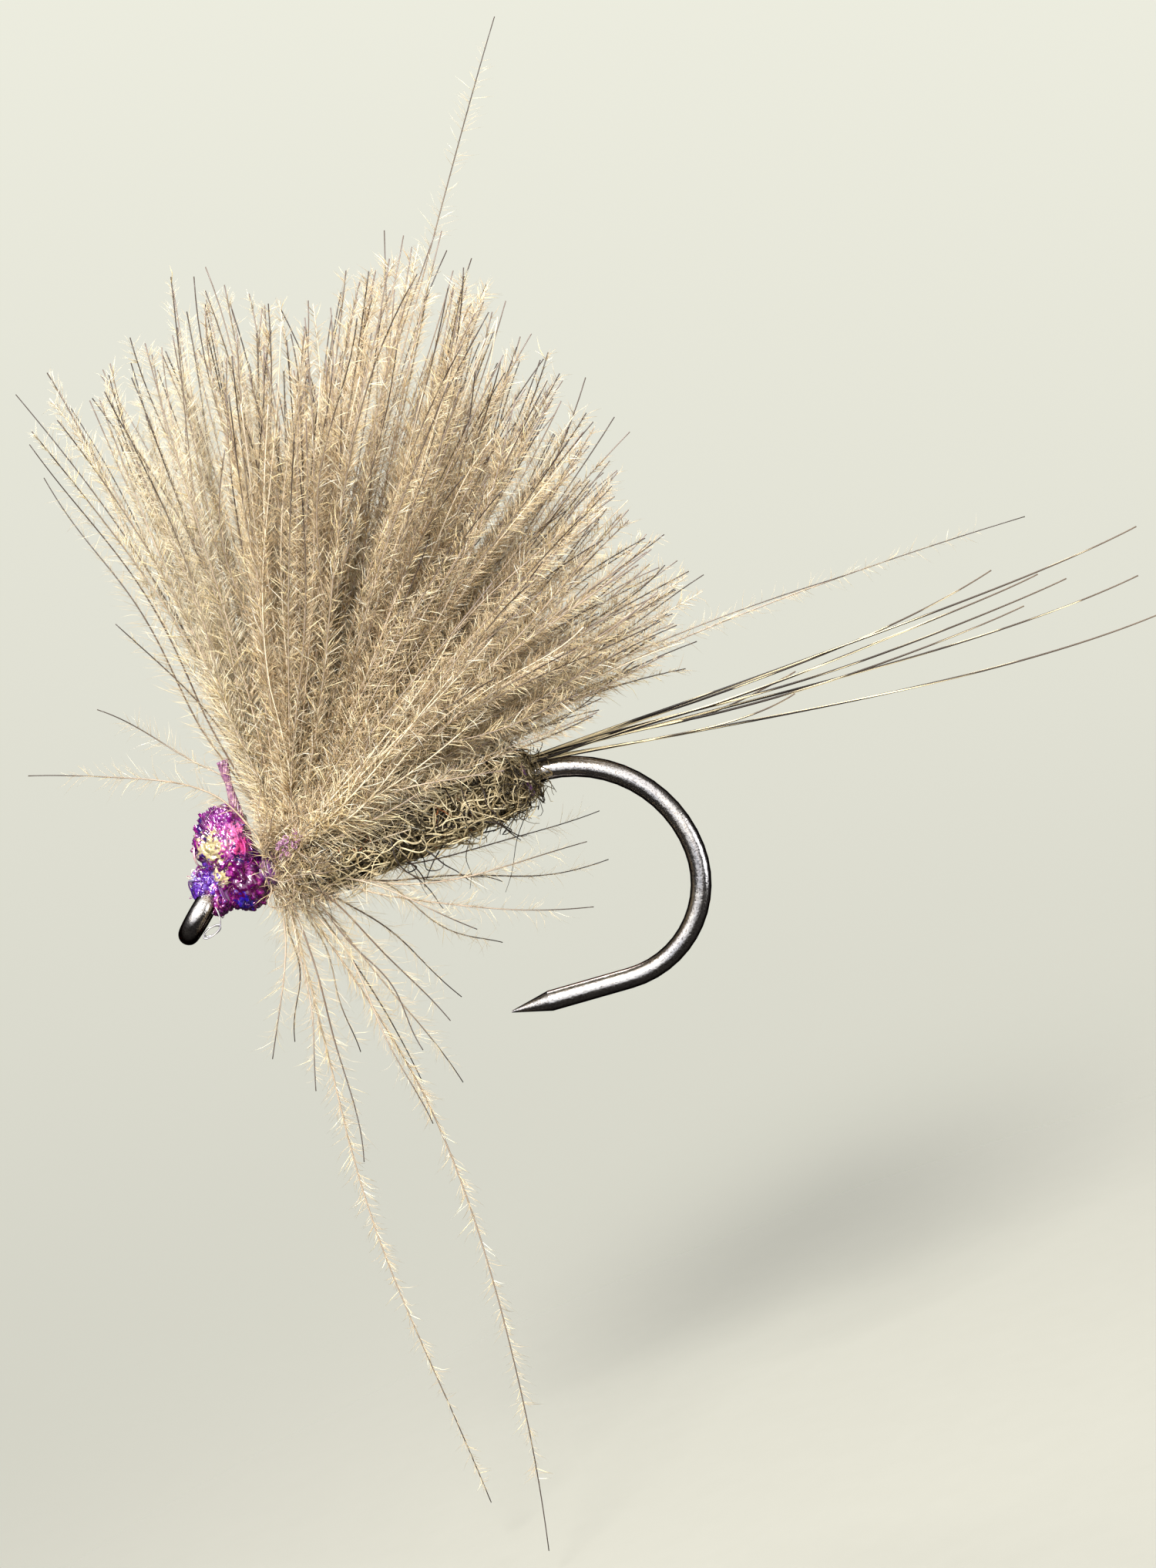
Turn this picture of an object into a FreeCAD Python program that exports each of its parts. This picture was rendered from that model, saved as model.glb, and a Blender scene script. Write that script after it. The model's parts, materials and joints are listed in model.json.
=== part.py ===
"""Dry fly tied on a size 14 barbless hook: feather-barb wing, hackle and tail, dubbed body, tinsel head.

Frame: the origin is the centre of the hook eye's hole. +X runs back along the shank towards the bend,
+Z is the wing side, and Y is across the hook. Everything is in millimetres.
Each function builds one physical piece, and build() writes every piece to its own STEP file.
"""

import FreeCAD, Part
import math
import os

from FreeCAD import Placement, Rotation, Vector

# ---- Driving dimensions -------------------------------------------------------------------------
WIRE_R = 0.22  # hook wire radius
EYE_MEAN_R = 0.48  # eye ring, to the middle of its wire
EYE_BORE_R = 0.28  # burnished land inside the eye that the tippet bears on
TIPPET_PATH_R = 0.44  # room kept clear in line with the eye, for the tippet and its knot
EYE_DROOP = 40.0  # degrees that the eye is turned down from the shank
NECK_R = 0.25  # bend radius where the shank turns down into the eye
BEND_START_X = 7.65  # the straight shank ends here
UPPER_BEND_R = 2.65
LOWER_BEND_R = 2.10
SPEAR_RISE = 4.0  # degrees that the spear closes towards the shank
SPEAR_LENGTH = 1.75
POINT_LENGTH = 0.85
POINT_TIP_R = 0.02

THREAD_R = 0.045
THREAD_START_X = 0.66
THREAD_END_X = 7.64
WHIP_WIDTH = 0.36
LASHING_WIDTH = 0.37

ROPE_FRONT_R = 0.26  # dubbing rope at the front of the abdomen
ROPE_REAR_R = 0.15
THORAX_ROPE_R = 0.18
ROPE_GAP = 0.02  # between one wound part and the next along the shank

WING_X = 2.15  # the wing and hackle are held here on the shank
LOOP_HALF_WIDTH = 0.48  # the loop that holds them covers this much of the shank either way
FIBRE_SIDES = 8
BARB_ROOT_R = 0.03
BARB_TIP_R = 0.018
GOLDEN_TURN = 0.38196601  # share of a turn between neighbours, so that no two barbs line up

TAIL_ROOT_R = 0.035
TAIL_TIP_R = 0.016
TAIL_STEP = 12.0  # degrees round the shank from one tail butt to the next

# ---- Places that follow from them ---------------------------------------------------------------
X_AXIS = Vector(1, 0, 0)
Y_AXIS = Vector(0, 1, 0)
Z_AXIS = Vector(0, 0, 1)
DROOP = math.radians(EYE_DROOP)
EYE_TO_SHANK = Vector(math.cos(DROOP), 0, math.sin(DROOP))
EYE_AXIS = Vector(-math.sin(DROOP), 0, math.cos(DROOP))
NECK_START = EYE_TO_SHANK * EYE_MEAN_R
SHANK_Z = NECK_START.z + NECK_R * (1 - math.cos(DROOP))
SHANK_START_X = NECK_START.x + NECK_R * math.sin(DROOP)
BEND_X = BEND_START_X + UPPER_BEND_R  # furthest back that the centre line reaches
THREAD_OUT_R = WIRE_R + 2 * THREAD_R
SECOND_LAYER_R = THREAD_OUT_R + 2 * THREAD_R
BARB_START = SECOND_LAYER_R + BARB_ROOT_R  # barbs leave the loop this far from the centre line
LASHING_X = THREAD_END_X - LASHING_WIDTH - 0.02
ABDOMEN_REAR_X = LASHING_X - ROPE_REAR_R - ROPE_GAP
THORAX_X = WING_X + LOOP_HALF_WIDTH + THREAD_R + THORAX_ROPE_R + ROPE_GAP
THORAX_TURNS = 1.25
THORAX_END_X = THORAX_X + THORAX_TURNS * (2 * THORAX_ROPE_R + ROPE_GAP)
ABDOMEN_FRONT_X = THORAX_END_X + THORAX_ROPE_R + ROPE_FRONT_R + ROPE_GAP


def on_shank(x, up=0.0, y=0.0):
    """A point at x, up above the shank's centre line and y across."""
    return Vector(x, y, SHANK_Z + up)


# ---- Shared shapes ------------------------------------------------------------------------------
def disc(centre, normal, radius):
    """A circular wire."""
    return Part.Wire(Part.Circle(centre, normal, radius).toShape())


def polygon(centre, normal, radius):
    """A regular polygon's wire, with its first corner square to both the normal and the Y axis."""
    right = Y_AXIS.cross(normal).normalize()
    up = normal.cross(right).normalize()
    corners = []
    for i in range(FIBRE_SIDES + 1):
        a = 2 * math.pi * (i % FIBRE_SIDES) / FIBRE_SIDES
        corners.append(centre + right * (radius * math.cos(a)) + up * (radius * math.sin(a)))
    return Part.makePolygon(corners)


def tapered_rod(path, root_r, tip_r, stations=6):
    """A faceted fibre along a Bezier path given by its control points, from root_r to tip_r."""
    curve = Part.BezierCurve()
    curve.setPoles(path)
    sections = []
    for i in range(stations):
        t = i / (stations - 1)
        sections.append(polygon(curve.value(t), Vector(*curve.tangent(t)[0]), root_r + (tip_r - root_r) * t))
    return Part.makeLoft(sections, True, True)


def turned_arc(start, pivot, degrees, radius):
    """A length of round wire bent in the XZ plane: its section at start, turned about pivot."""
    section = Part.Face(disc(start, (start - pivot).cross(Y_AXIS), radius))
    return section.revolve(pivot, Y_AXIS, degrees)


def wound_sleeve(x0, x1, inner_r, thread_r):
    """Touching turns of thread round the shank, as one sleeve with a rounded crest for each turn."""
    turns = max(1, round((x1 - x0) / (2 * thread_r)))
    pitch = (x1 - x0) / turns
    line_r = inner_r + thread_r
    edges = [Part.makeLine(on_shank(x0, inner_r), on_shank(x0, line_r))]
    for i in range(turns):
        a = x0 + i * pitch
        crest = on_shank(a + pitch / 2, line_r + thread_r)
        edges.append(Part.Arc(on_shank(a, line_r), crest, on_shank(a + pitch, line_r)).toShape())
    edges.append(Part.makeLine(on_shank(x1, line_r), on_shank(x1, inner_r)))
    edges.append(Part.makeLine(on_shank(x1, inner_r), on_shank(x0, inner_r)))
    profile = Part.Face(Part.Wire(edges))
    return profile.revolve(on_shank(0), X_AXIS, 360)


def wound_rope(x0, x1, inner_r, rope_r0, rope_r1, turns, phase=0.0):
    """A rope wound helically on a core of inner_r; its own radius runs from rope_r0 to rope_r1."""
    per_turn = 12
    count = int(turns * per_turn) + 1
    points = []
    for i in range(count):
        share = i / (count - 1)
        # thicker turns take more of the shank, so the advance follows the rope's own radius
        advance = share * (rope_r0 + (rope_r1 - rope_r0) * share / 2) / ((rope_r0 + rope_r1) / 2)
        rope_r = rope_r0 + (rope_r1 - rope_r0) * share
        angle = 2 * math.pi * turns * share + phase
        out = inner_r + rope_r
        points.append(on_shank(x0 + (x1 - x0) * advance, out * math.cos(angle), out * math.sin(angle)))
    spline = Part.BSplineCurve()
    spline.interpolate(points)
    spine = Part.Wire(spline.toShape())
    first, last = spline.FirstParameter, spline.LastParameter
    ends = [
        polygon(spline.value(first), Vector(*spline.tangent(first)[0]), rope_r0),
        polygon(spline.value(last), Vector(*spline.tangent(last)[0]), rope_r1),
    ]
    return spine.makePipeShell(ends, True, False)


def ellipsoid(centre, rx, ry, rz):
    """A closed ellipsoid."""
    ball = Part.makeSphere(1.0)
    scale = FreeCAD.Matrix(rx, 0, 0, centre.x, 0, ry, 0, centre.y, 0, 0, rz, centre.z, 0, 0, 0, 1)
    return ball.transformGeometry(scale)


# ---- Hook ---------------------------------------------------------------------------------------
def hook():
    """One length of round wire: eye ring, neck, shank, two-radius bend, spear and barbless point."""
    ring = Part.makeTorus(EYE_MEAN_R, WIRE_R, Vector(0, 0, 0), EYE_AXIS)
    land_depth = 2 * WIRE_R
    bore = Part.makeCylinder(EYE_BORE_R, land_depth, EYE_AXIS * (-land_depth / 2), EYE_AXIS)
    ring = ring.cut(bore)

    neck_pivot = Vector(SHANK_START_X, 0, SHANK_Z - NECK_R)
    neck = turned_arc(NECK_START, neck_pivot, EYE_DROOP, WIRE_R)
    shank = Part.makeCylinder(WIRE_R, BEND_START_X - SHANK_START_X, on_shank(SHANK_START_X), X_AXIS)

    upper_pivot = on_shank(BEND_START_X, -UPPER_BEND_R)
    upper = turned_arc(on_shank(BEND_START_X), upper_pivot, 90, WIRE_R)
    lower_pivot = Vector(BEND_X - LOWER_BEND_R, 0, upper_pivot.z)
    lower_start = Vector(BEND_X, 0, upper_pivot.z)
    lower_turn = 90 + SPEAR_RISE
    lower = turned_arc(lower_start, lower_pivot, lower_turn, WIRE_R)

    rise = math.radians(SPEAR_RISE)
    forward = Vector(-math.cos(rise), 0, math.sin(rise))
    spear_start = lower_pivot + Vector(-math.sin(rise), 0, -math.cos(rise)) * LOWER_BEND_R
    spear = Part.makeCylinder(WIRE_R, SPEAR_LENGTH, spear_start, forward)
    point_start = spear_start + forward * SPEAR_LENGTH
    point = Part.makeCone(WIRE_R, POINT_TIP_R, POINT_LENGTH, point_start, forward)
    wire = shank.fuse([neck, upper, lower, spear, point]).removeSplitter()
    return wire.fuse(ring)


# ---- Thread -------------------------------------------------------------------------------------
def thread_base():
    """Close turns of tying thread that grip everything else to the shank."""
    return wound_sleeve(THREAD_START_X, THREAD_END_X, WIRE_R, THREAD_R)


def tail_lashing():
    """A second layer of turns, over the tail's butts."""
    return wound_sleeve(LASHING_X, LASHING_X + LASHING_WIDTH, THREAD_OUT_R + 2 * TAIL_ROOT_R, THREAD_R)


def whip_finish():
    """The knot's turns, laid over the thread base behind the eye."""
    return wound_sleeve(THREAD_START_X, THREAD_START_X + WHIP_WIDTH, THREAD_OUT_R, THREAD_R)


def hackle_loop_thread():
    """The split thread loop whose two strands trap the feather barbs, wound on over the thread base."""
    turns = 5
    x0 = WING_X - LOOP_HALF_WIDTH
    x1 = WING_X + LOOP_HALF_WIDTH
    strands = []
    for phase in (0.0, math.pi):
        strands.append(wound_rope(x0, x1, THREAD_OUT_R, THREAD_R, THREAD_R, turns, phase))
    return Part.makeCompound(strands)


def thread_tag():
    """The twisted stub of tinsel left standing at the top of the head."""
    return tapered_rod(
        [on_shank(1.36, 1.66), on_shank(1.62, 1.95), on_shank(1.54, 2.12), on_shank(1.62, 2.50)], 0.10, 0.065
    )


# ---- Dubbing ------------------------------------------------------------------------------------
def abdomen_dubbing():
    """The dubbed noodle: a fur rope wound forward from the tail, thickening towards the wing."""
    mean_pitch = ROPE_REAR_R + ROPE_FRONT_R + ROPE_GAP
    turns = (ABDOMEN_REAR_X - ABDOMEN_FRONT_X) / mean_pitch
    return wound_rope(ABDOMEN_REAR_X, ABDOMEN_FRONT_X, THREAD_OUT_R, ROPE_REAR_R, ROPE_FRONT_R, turns)


def abdomen_guard_hairs():
    """Stiff guard hairs that stand out of the dubbing, as separate tapered hairs."""
    count = 22
    hairs = []
    for i in range(count):
        share = (i + 0.5) / count
        x = ABDOMEN_FRONT_X + (ABDOMEN_REAR_X - ABDOMEN_FRONT_X) * share
        around = 2 * math.pi * GOLDEN_TURN * i
        start_r = THREAD_OUT_R + 2 * (ROPE_FRONT_R + (ROPE_REAR_R - ROPE_FRONT_R) * share)
        out = Vector(0, math.sin(around), math.cos(around))
        start = on_shank(x) + out * start_r
        length = 0.55 + 0.5 * math.sin(7.0 * share * math.pi) ** 2
        lean = (out + X_AXIS * 0.7).normalize()
        hairs.append(Part.makeCone(0.022, 0.008, length, start, lean))
    return Part.makeCompound(hairs)


def thorax_dubbing():
    """A short rope of the same fur that closes the gap between the hackle and the abdomen."""
    return wound_rope(THORAX_X, THORAX_END_X, THREAD_OUT_R, THORAX_ROPE_R, THORAX_ROPE_R, THORAX_TURNS)


# ---- Head ---------------------------------------------------------------------------------------
def rear_head_dubbing():
    """Tinsel dubbing packed against the front of the wing to prop it up; taller above the shank."""
    wad = ellipsoid(on_shank(1.16, 0.50), 0.46, 0.62, 1.18)
    core = Part.makeCylinder(THREAD_OUT_R, 4.0, on_shank(-1.0), X_AXIS)
    finish = Part.makeCylinder(SECOND_LAYER_R, WHIP_WIDTH + ROPE_GAP, on_shank(THREAD_START_X), X_AXIS)
    return wad.cut(core).cut(finish)


def front_head_dubbing():
    """The small wad round the neck of the eye, cleared from the tippet's path through the eye."""
    wad = ellipsoid(on_shank(0.34, -0.08), 0.31, 0.46, 0.50)
    tippet_path = Part.makeCylinder(TIPPET_PATH_R, 4.0, EYE_AXIS * -2.0, EYE_AXIS)
    return wad.cut(hook()).cut(tippet_path)


def tinsel_loops():
    """Two slack loops of tinsel, each hung on a strand from the front wad, beside the tippet's path."""
    solids = []
    for y, tilt, long_r in ((-0.42, 18.0, 0.22), (-0.35, 8.0, 0.19)):
        path = Part.Ellipse(Vector(0, 0, 0), long_r, 0.08).toShape()
        section = disc(Vector(long_r, 0, 0), Y_AXIS, 0.016)
        loop = Part.Wire(path).makePipeShell([section], True, False)
        loop.Placement = Placement(on_shank(0.20, -0.74, y), Rotation(Y_AXIS, -tilt) * Rotation(X_AXIS, 90))
        back_end = on_shank(0.20 + long_r, -0.74 + long_r * math.sin(math.radians(tilt)), y)
        hanger = [on_shank(0.46, -0.28, y), on_shank(0.50, -0.50, y), back_end]
        solids += [loop, tapered_rod(hanger, 0.016, 0.012)]
    return Part.makeCompound(solids)


# ---- Feather barbs ------------------------------------------------------------------------------
def loop_point(along, around):
    """Where a barb leaves the loop: along is -1 to 1 of its width, around is degrees from the top."""
    a = math.radians(around)
    return on_shank(WING_X + LOOP_HALF_WIDTH * along, BARB_START * math.cos(a), BARB_START * math.sin(a))


def fan_point(sweep, side, reach, upright=1.0):
    """A point at reach from the loop's centre: sweep degrees back from upright, side degrees across."""
    a, b = math.radians(sweep), math.radians(side)
    flat = reach * math.cos(b)
    return on_shank(WING_X + flat * math.sin(a), upright * flat * math.cos(a), reach * math.sin(b))


def wing_barb(sweep, side, length, bow):
    """One barb of the wing; bow is how far, in degrees, its middle lags behind its tip."""
    path = [
        loop_point(0.95 * math.sin(math.radians(sweep - 32.0)), 3.0 * side),
        fan_point(sweep + bow, side * 0.8, length * 0.48),
        fan_point(sweep, side, length),
    ]
    return tapered_rod(path, BARB_ROOT_R, BARB_TIP_R)


def wing_bunch(count, sweep_from, sweep_to, length, spread, side_max):
    """A fan of separate barbs between two sweep angles, spread across the hook."""
    barbs = []
    for i in range(count):
        share = (i + 0.5) / count
        sweep = sweep_from + (sweep_to - sweep_from) * share
        turn = (i * GOLDEN_TURN) % 1.0
        side = side_max * (2 * turn - 1)
        reach = length + spread * math.sin(6 * math.pi * turn)
        barbs.append(wing_barb(sweep, side, reach, 4.0 * math.cos(2 * math.pi * turn)))
    return Part.makeCompound(barbs)


def wing_front_barbs():
    """The upright bunch just behind the head."""
    return wing_bunch(26, -9.0, 14.0, 11.2, 0.7, 17.0)


def wing_centre_barbs():
    """The tallest bunch, leaning back."""
    return wing_bunch(30, 17.0, 43.0, 12.7, 0.6, 20.0)


def wing_rear_barbs():
    """The lowest bunch, fanned out over the body."""
    return wing_bunch(26, 46.0, 74.0, 10.6, 0.5, 20.0)


def wing_tall_stray():
    """The one barb that stands well above the wing."""
    return wing_barb(35.0, 3.0, 18.1, -3.0)


def wing_forward_strays():
    """Four loose barbs that lean forward over the head and the eye."""
    over_wing = ((-12.0, 9.0, 9.8, 3.0), (-11.0, -6.0, 6.5, 8.0))
    over_head = ((-33.5, 8.0, 5.1, 28.0), (-49.0, -12.0, 5.7, 36.0))
    return Part.makeCompound([wing_barb(*shape) for shape in over_wing + over_head])


def wing_back_strays():
    """Two barbs that reach back from the wing, above the tail."""
    shapes = ((82.6, -8.0, 13.4, -9.0), (85.7, 7.0, 17.1, -9.0))
    return Part.makeCompound([wing_barb(*shape) for shape in shapes])


def wing_tinsel():
    """A few strands of the head's tinsel, caught in the loop behind the wing."""
    strands = []
    for sweep, around in ((38.0, -100.0), (52.0, -86.0), (66.0, -112.0), (45.0, 92.0), (60.0, 106.0)):
        root = loop_point(0.6, around)
        side = math.copysign(24.0, around)
        path = [root, fan_point(sweep + 12.0, side, 1.2), fan_point(sweep, side, 1.9)]
        strands.append(tapered_rod(path, 0.02, 0.012))
    return Part.makeCompound(strands)


def hackle_barb(back, side, length, droop):
    """One barb below the hook; droop is how many degrees further back its middle lies than its tip."""
    path = [
        loop_point(0.95 * math.sin(math.radians(back - 20.0)), 180.0 - 2.2 * side),
        fan_point(back + droop, side, length * 0.5, -1.0),
        fan_point(back, side, length, -1.0),
    ]
    return tapered_rod(path, BARB_ROOT_R, BARB_TIP_R)


# each leg: degrees back from straight down, reach from the shank
LEG_FAN = ((-22.0, 4.1), (-8.0, 4.9), (1.0, 6.8), (12.0, 6.3), (24.0, 5.2), (36.0, 5.7), (57.0, 4.6))


def hackle_legs(hand):
    """The leg barbs on one side of the hook (hand is -1 or +1), spread from the eye towards the bend."""
    legs = []
    for i, (back, length) in enumerate(LEG_FAN):
        side = 13.0 + 24.0 * ((i * GOLDEN_TURN) % 1.0)
        legs.append(hackle_barb(back + 2.0 * hand, hand * side, length, 6.0))
    return Part.makeCompound(legs)


def belly_barbs(hand):
    """Two barbs on one side of the hook, swept back beneath the abdomen."""
    barbs = []
    for back, side, length in ((77.0, 14.0, 6.7), (66.5, 20.0, 7.0)):
        barbs.append(hackle_barb(back + hand, hand * side, length, -12.0))
    return Part.makeCompound(barbs)


def hackle_left_legs():
    """The legs on the left, -Y, side."""
    return hackle_legs(-1)


def hackle_right_legs():
    """The legs on the right, +Y, side."""
    return hackle_legs(1)


def belly_left_barbs():
    """The swept-back pair on the left side."""
    return belly_barbs(-1)


def belly_right_barbs():
    """The swept-back pair on the right side."""
    return belly_barbs(1)


def hackle_left_streamer():
    """The long trailing barb on the left side."""
    return hackle_barb(0.6, -7.0, 15.4, 15.0)


def hackle_right_streamer():
    """The long trailing barb on the right side."""
    return hackle_barb(-5.3, 7.0, 15.0, -7.0)


# ---- Tail ---------------------------------------------------------------------------------------
# each fibre: how far its tip lies behind, above and across from its root
TAIL_TIPS = (
    (11.3, 0.2, -1.1),
    (13.4, -1.6, -0.5),
    (5.8, -0.6, -0.4),
    (13.5, 0.15, -0.3),
    (10.8, -0.6, 0.0),
    (11.8, -0.4, 0.3),
    (13.2, -0.9, 0.6),
    (5.9, -0.3, 0.4),
    (10.4, 0.3, 1.1),
)


def tail_root(i, x):
    """The centre of fibre i at x: side by side round the top of the thread base."""
    around = math.radians(TAIL_STEP * (i - (len(TAIL_TIPS) - 1) / 2))
    out = THREAD_OUT_R + TAIL_ROOT_R
    return on_shank(x, out * math.cos(around), out * math.sin(around))


def tail_fibres():
    """Stiff barred hackle fibres, each with its own length; they sag a little and their tips lift."""
    fibres = []
    for i, (back, up, across) in enumerate(TAIL_TIPS):
        root = tail_root(i, THREAD_END_X + ROPE_GAP)
        middle = root + Vector(back * 0.55, across * 0.5, up * 0.5 - 0.3)
        tip = root + Vector(back, across, up)
        fibres.append(tapered_rod([root, middle, tip], TAIL_ROOT_R, TAIL_TIP_R))
    return Part.makeCompound(fibres)


def tail_butts():
    """The gripped ends of the same fibres, between the thread base and the lashing."""
    butts = []
    length = THREAD_END_X - LASHING_X
    for i in range(len(TAIL_TIPS)):
        butts.append(Part.makeCylinder(TAIL_ROOT_R, length, tail_root(i, LASHING_X), X_AXIS))
    return Part.makeCompound(butts)


# ---- Build --------------------------------------------------------------------------------------
PIECES = (
    hook,
    thread_base,
    tail_lashing,
    whip_finish,
    hackle_loop_thread,
    thread_tag,
    abdomen_dubbing,
    abdomen_guard_hairs,
    thorax_dubbing,
    rear_head_dubbing,
    front_head_dubbing,
    tinsel_loops,
    wing_front_barbs,
    wing_centre_barbs,
    wing_rear_barbs,
    wing_tall_stray,
    wing_forward_strays,
    wing_back_strays,
    wing_tinsel,
    hackle_left_legs,
    hackle_right_legs,
    belly_left_barbs,
    belly_right_barbs,
    hackle_left_streamer,
    hackle_right_streamer,
    tail_fibres,
    tail_butts,
)


def build():
    """Writes parts/NAME.step for every piece, named after the function that makes it."""
    os.makedirs("parts", exist_ok=True)
    for piece in PIECES:
        shape = piece()
        if not shape.isValid():
            raise ValueError(f"{piece.__name__} is not a valid shape")
        shape.exportStep(os.path.join("parts", piece.__name__ + ".step"))


build()
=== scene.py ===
"""The looks of a dry fly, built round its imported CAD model.

Feather barbs, down, fur and tinsel are strands: thousands of thin closed tubes per piece, made with numpy
from curves that follow the CAD bunches. Lengths are in millimetres until a mesh is made. Each strand's UV
says which strand it is (U, its tone) and how far along it is (V, from root to tip), and the materials read
their colours from those two values.
"""

import json
import math

import bpy
import numpy as np
from mathutils import Matrix, Vector

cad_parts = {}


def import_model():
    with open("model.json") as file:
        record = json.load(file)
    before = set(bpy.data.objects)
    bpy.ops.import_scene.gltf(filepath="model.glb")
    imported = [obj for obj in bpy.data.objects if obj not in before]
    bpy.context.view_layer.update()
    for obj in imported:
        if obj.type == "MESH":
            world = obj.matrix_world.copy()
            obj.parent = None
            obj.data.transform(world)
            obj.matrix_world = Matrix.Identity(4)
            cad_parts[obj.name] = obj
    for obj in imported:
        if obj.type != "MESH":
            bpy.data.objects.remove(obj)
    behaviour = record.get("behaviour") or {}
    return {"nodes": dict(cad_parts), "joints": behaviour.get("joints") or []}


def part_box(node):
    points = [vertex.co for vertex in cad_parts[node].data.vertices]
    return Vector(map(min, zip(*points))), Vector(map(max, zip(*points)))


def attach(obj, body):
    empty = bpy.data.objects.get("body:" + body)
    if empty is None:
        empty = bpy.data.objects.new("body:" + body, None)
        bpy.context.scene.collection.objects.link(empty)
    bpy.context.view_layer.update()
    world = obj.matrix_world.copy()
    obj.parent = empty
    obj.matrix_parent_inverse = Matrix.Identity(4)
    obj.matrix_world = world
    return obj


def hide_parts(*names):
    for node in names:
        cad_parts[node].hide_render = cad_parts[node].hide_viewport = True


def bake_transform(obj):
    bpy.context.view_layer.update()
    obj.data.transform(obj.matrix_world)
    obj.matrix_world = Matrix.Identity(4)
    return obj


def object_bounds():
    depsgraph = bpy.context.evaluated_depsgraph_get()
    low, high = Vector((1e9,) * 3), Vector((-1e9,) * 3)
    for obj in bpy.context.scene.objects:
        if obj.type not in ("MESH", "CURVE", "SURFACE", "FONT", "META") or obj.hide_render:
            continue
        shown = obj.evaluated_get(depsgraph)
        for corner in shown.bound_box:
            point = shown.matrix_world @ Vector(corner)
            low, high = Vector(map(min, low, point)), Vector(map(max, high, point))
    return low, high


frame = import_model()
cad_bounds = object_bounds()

MM = 0.001
STRIPS = 64  # different tones a material can show
ANY_PHASE = 6.3  # just over a full turn, in radians
GOLDEN_SHARE = 0.38196601  # spreads repeated things evenly without a pattern


def joint_place(name):
    """A joint's position in millimetres."""
    joint = next(j for j in frame["joints"] if j["name"] == name)
    return np.array(joint["pos_m"]) / MM


def node_box(name):
    """A CAD node's lowest and highest corners in millimetres."""
    low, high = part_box(name)
    return np.array(low) / MM, np.array(high) / MM


# ---- Places taken from the CAD ----
WING = joint_place("wing_front_sweep")
TAIL = joint_place("tail_flex")
SHANK_Z = WING[2]
LOOP_LOW, LOOP_HIGH = node_box("hackle_loop_thread")
LOOP_R = (LOOP_HIGH[2] - LOOP_LOW[2]) / 2
LOOP_HALF = (LOOP_HIGH[0] - LOOP_LOW[0]) / 2
BODY_LOW, BODY_HIGH = node_box("abdomen_dubbing")
LASHING_LOW, LASHING_HIGH = node_box("tail_lashing")
REAR_WAD_LOW, REAR_WAD_HIGH = node_box("rear_head_dubbing")
FRONT_WAD_LOW, FRONT_WAD_HIGH = node_box("front_head_dubbing")
TAG_LOW, TAG_HIGH = node_box("thread_tag")
WING_TINSEL_LOW, _ = node_box("wing_tinsel")
REAR_WAD, REAR_WAD_R = (REAR_WAD_LOW + REAR_WAD_HIGH) / 2, (REAR_WAD_HIGH - REAR_WAD_LOW) / 2
FRONT_WAD, FRONT_WAD_R = (FRONT_WAD_LOW + FRONT_WAD_HIGH) / 2, (FRONT_WAD_HIGH - FRONT_WAD_LOW) / 2

# ---- Sizes of the feather, fur and tinsel ----
# how far the wing's outline reaches, against degrees swept back from upright
OUTLINE_SWEEP = (-8, -2, 4, 12, 20, 27, 33, 40, 48, 54, 64, 77, 84)
OUTLINE_REACH = (11.6, 11.6, 11.7, 12.6, 11.4, 12.6, 13.5, 12.9, 11.9, 11.8, 10.9, 10.6, 9.6)
FAN_MIDDLE = 34.0  # the barbs bow away from this sweep as they rise
DOWN_START = 0.03  # the share of each barb without barbules at its root

# each bunch's seed, barbs, sweeps and greatest side in degrees, share a barb may lack in length, pieces of
# down and paleness
WING_BUNCHES = {
    "wing_front": (11, 70, (-3, 18), 17, 0.36, 3, 0.50),
    "wing_centre": (12, 205, (16, 48), 20, 0.24, 6, 0.20),
    "wing_rear": (13, 240, (44, 82), 23, 0.32, 6, 0.20),
}
FLANK_BARBS = (14, 78, 72.0, (0.0, 0.16))  # seed, barbs, middle sweep and tones

# each loose barb's sweep back, side, reach in mm and bow, in degrees
TALL_STRAY = ((35, 3, 18.1, -3),)
FORWARD_STRAYS = (
    (-12, 9, 9.8, 3),
    (-9.9, 4, 11.4, 8),
    (-7.9, -7, 10.3, 6),
    (-6, 10, 10.8, 5),
    (-13, -6, 6.2, 10),
    (-33.5, 8, 5.1, 28),
    (-49, -12, 5.7, 36),
)
BACK_STRAYS = ((82.6, -8, 13.4, -9), (85.7, 7, 17.1, -9))
# the wing's loose barbs: name, bunch, CAD node, seed, shapes, barbules per mm and their length
STRAYS = (
    ("wing_tall_stray_barb", "wing_centre", "wing_tall_stray", 21, TALL_STRAY, 26.0, 0.70),
    ("wing_forward_stray_barbs", "wing_front", "wing_forward_strays", 22, FORWARD_STRAYS, 30.0, 0.80),
    ("wing_back_stray_barbs", "wing_rear", "wing_back_strays", 23, BACK_STRAYS, 26.0, 0.65),
)
BELLY_BARBS = ((77, 14, 6.7, -12), (66.5, 20, 7.0, -12))
TRAILING_BARBS = {"left": (0.6, -7, 15.4, 15), "right": (-5.3, 7, 15.0, -7)}
LEG_BARBS = ((-22, 4.1), (-8, 4.9), (1, 6.8), (12, 6.3), (24, 5.2), (36, 5.7), (57, 4.6))  # sweep, reach

TAIL_ROOT_R = 0.345  # from the shank's centre to the fibres' roots
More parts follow.
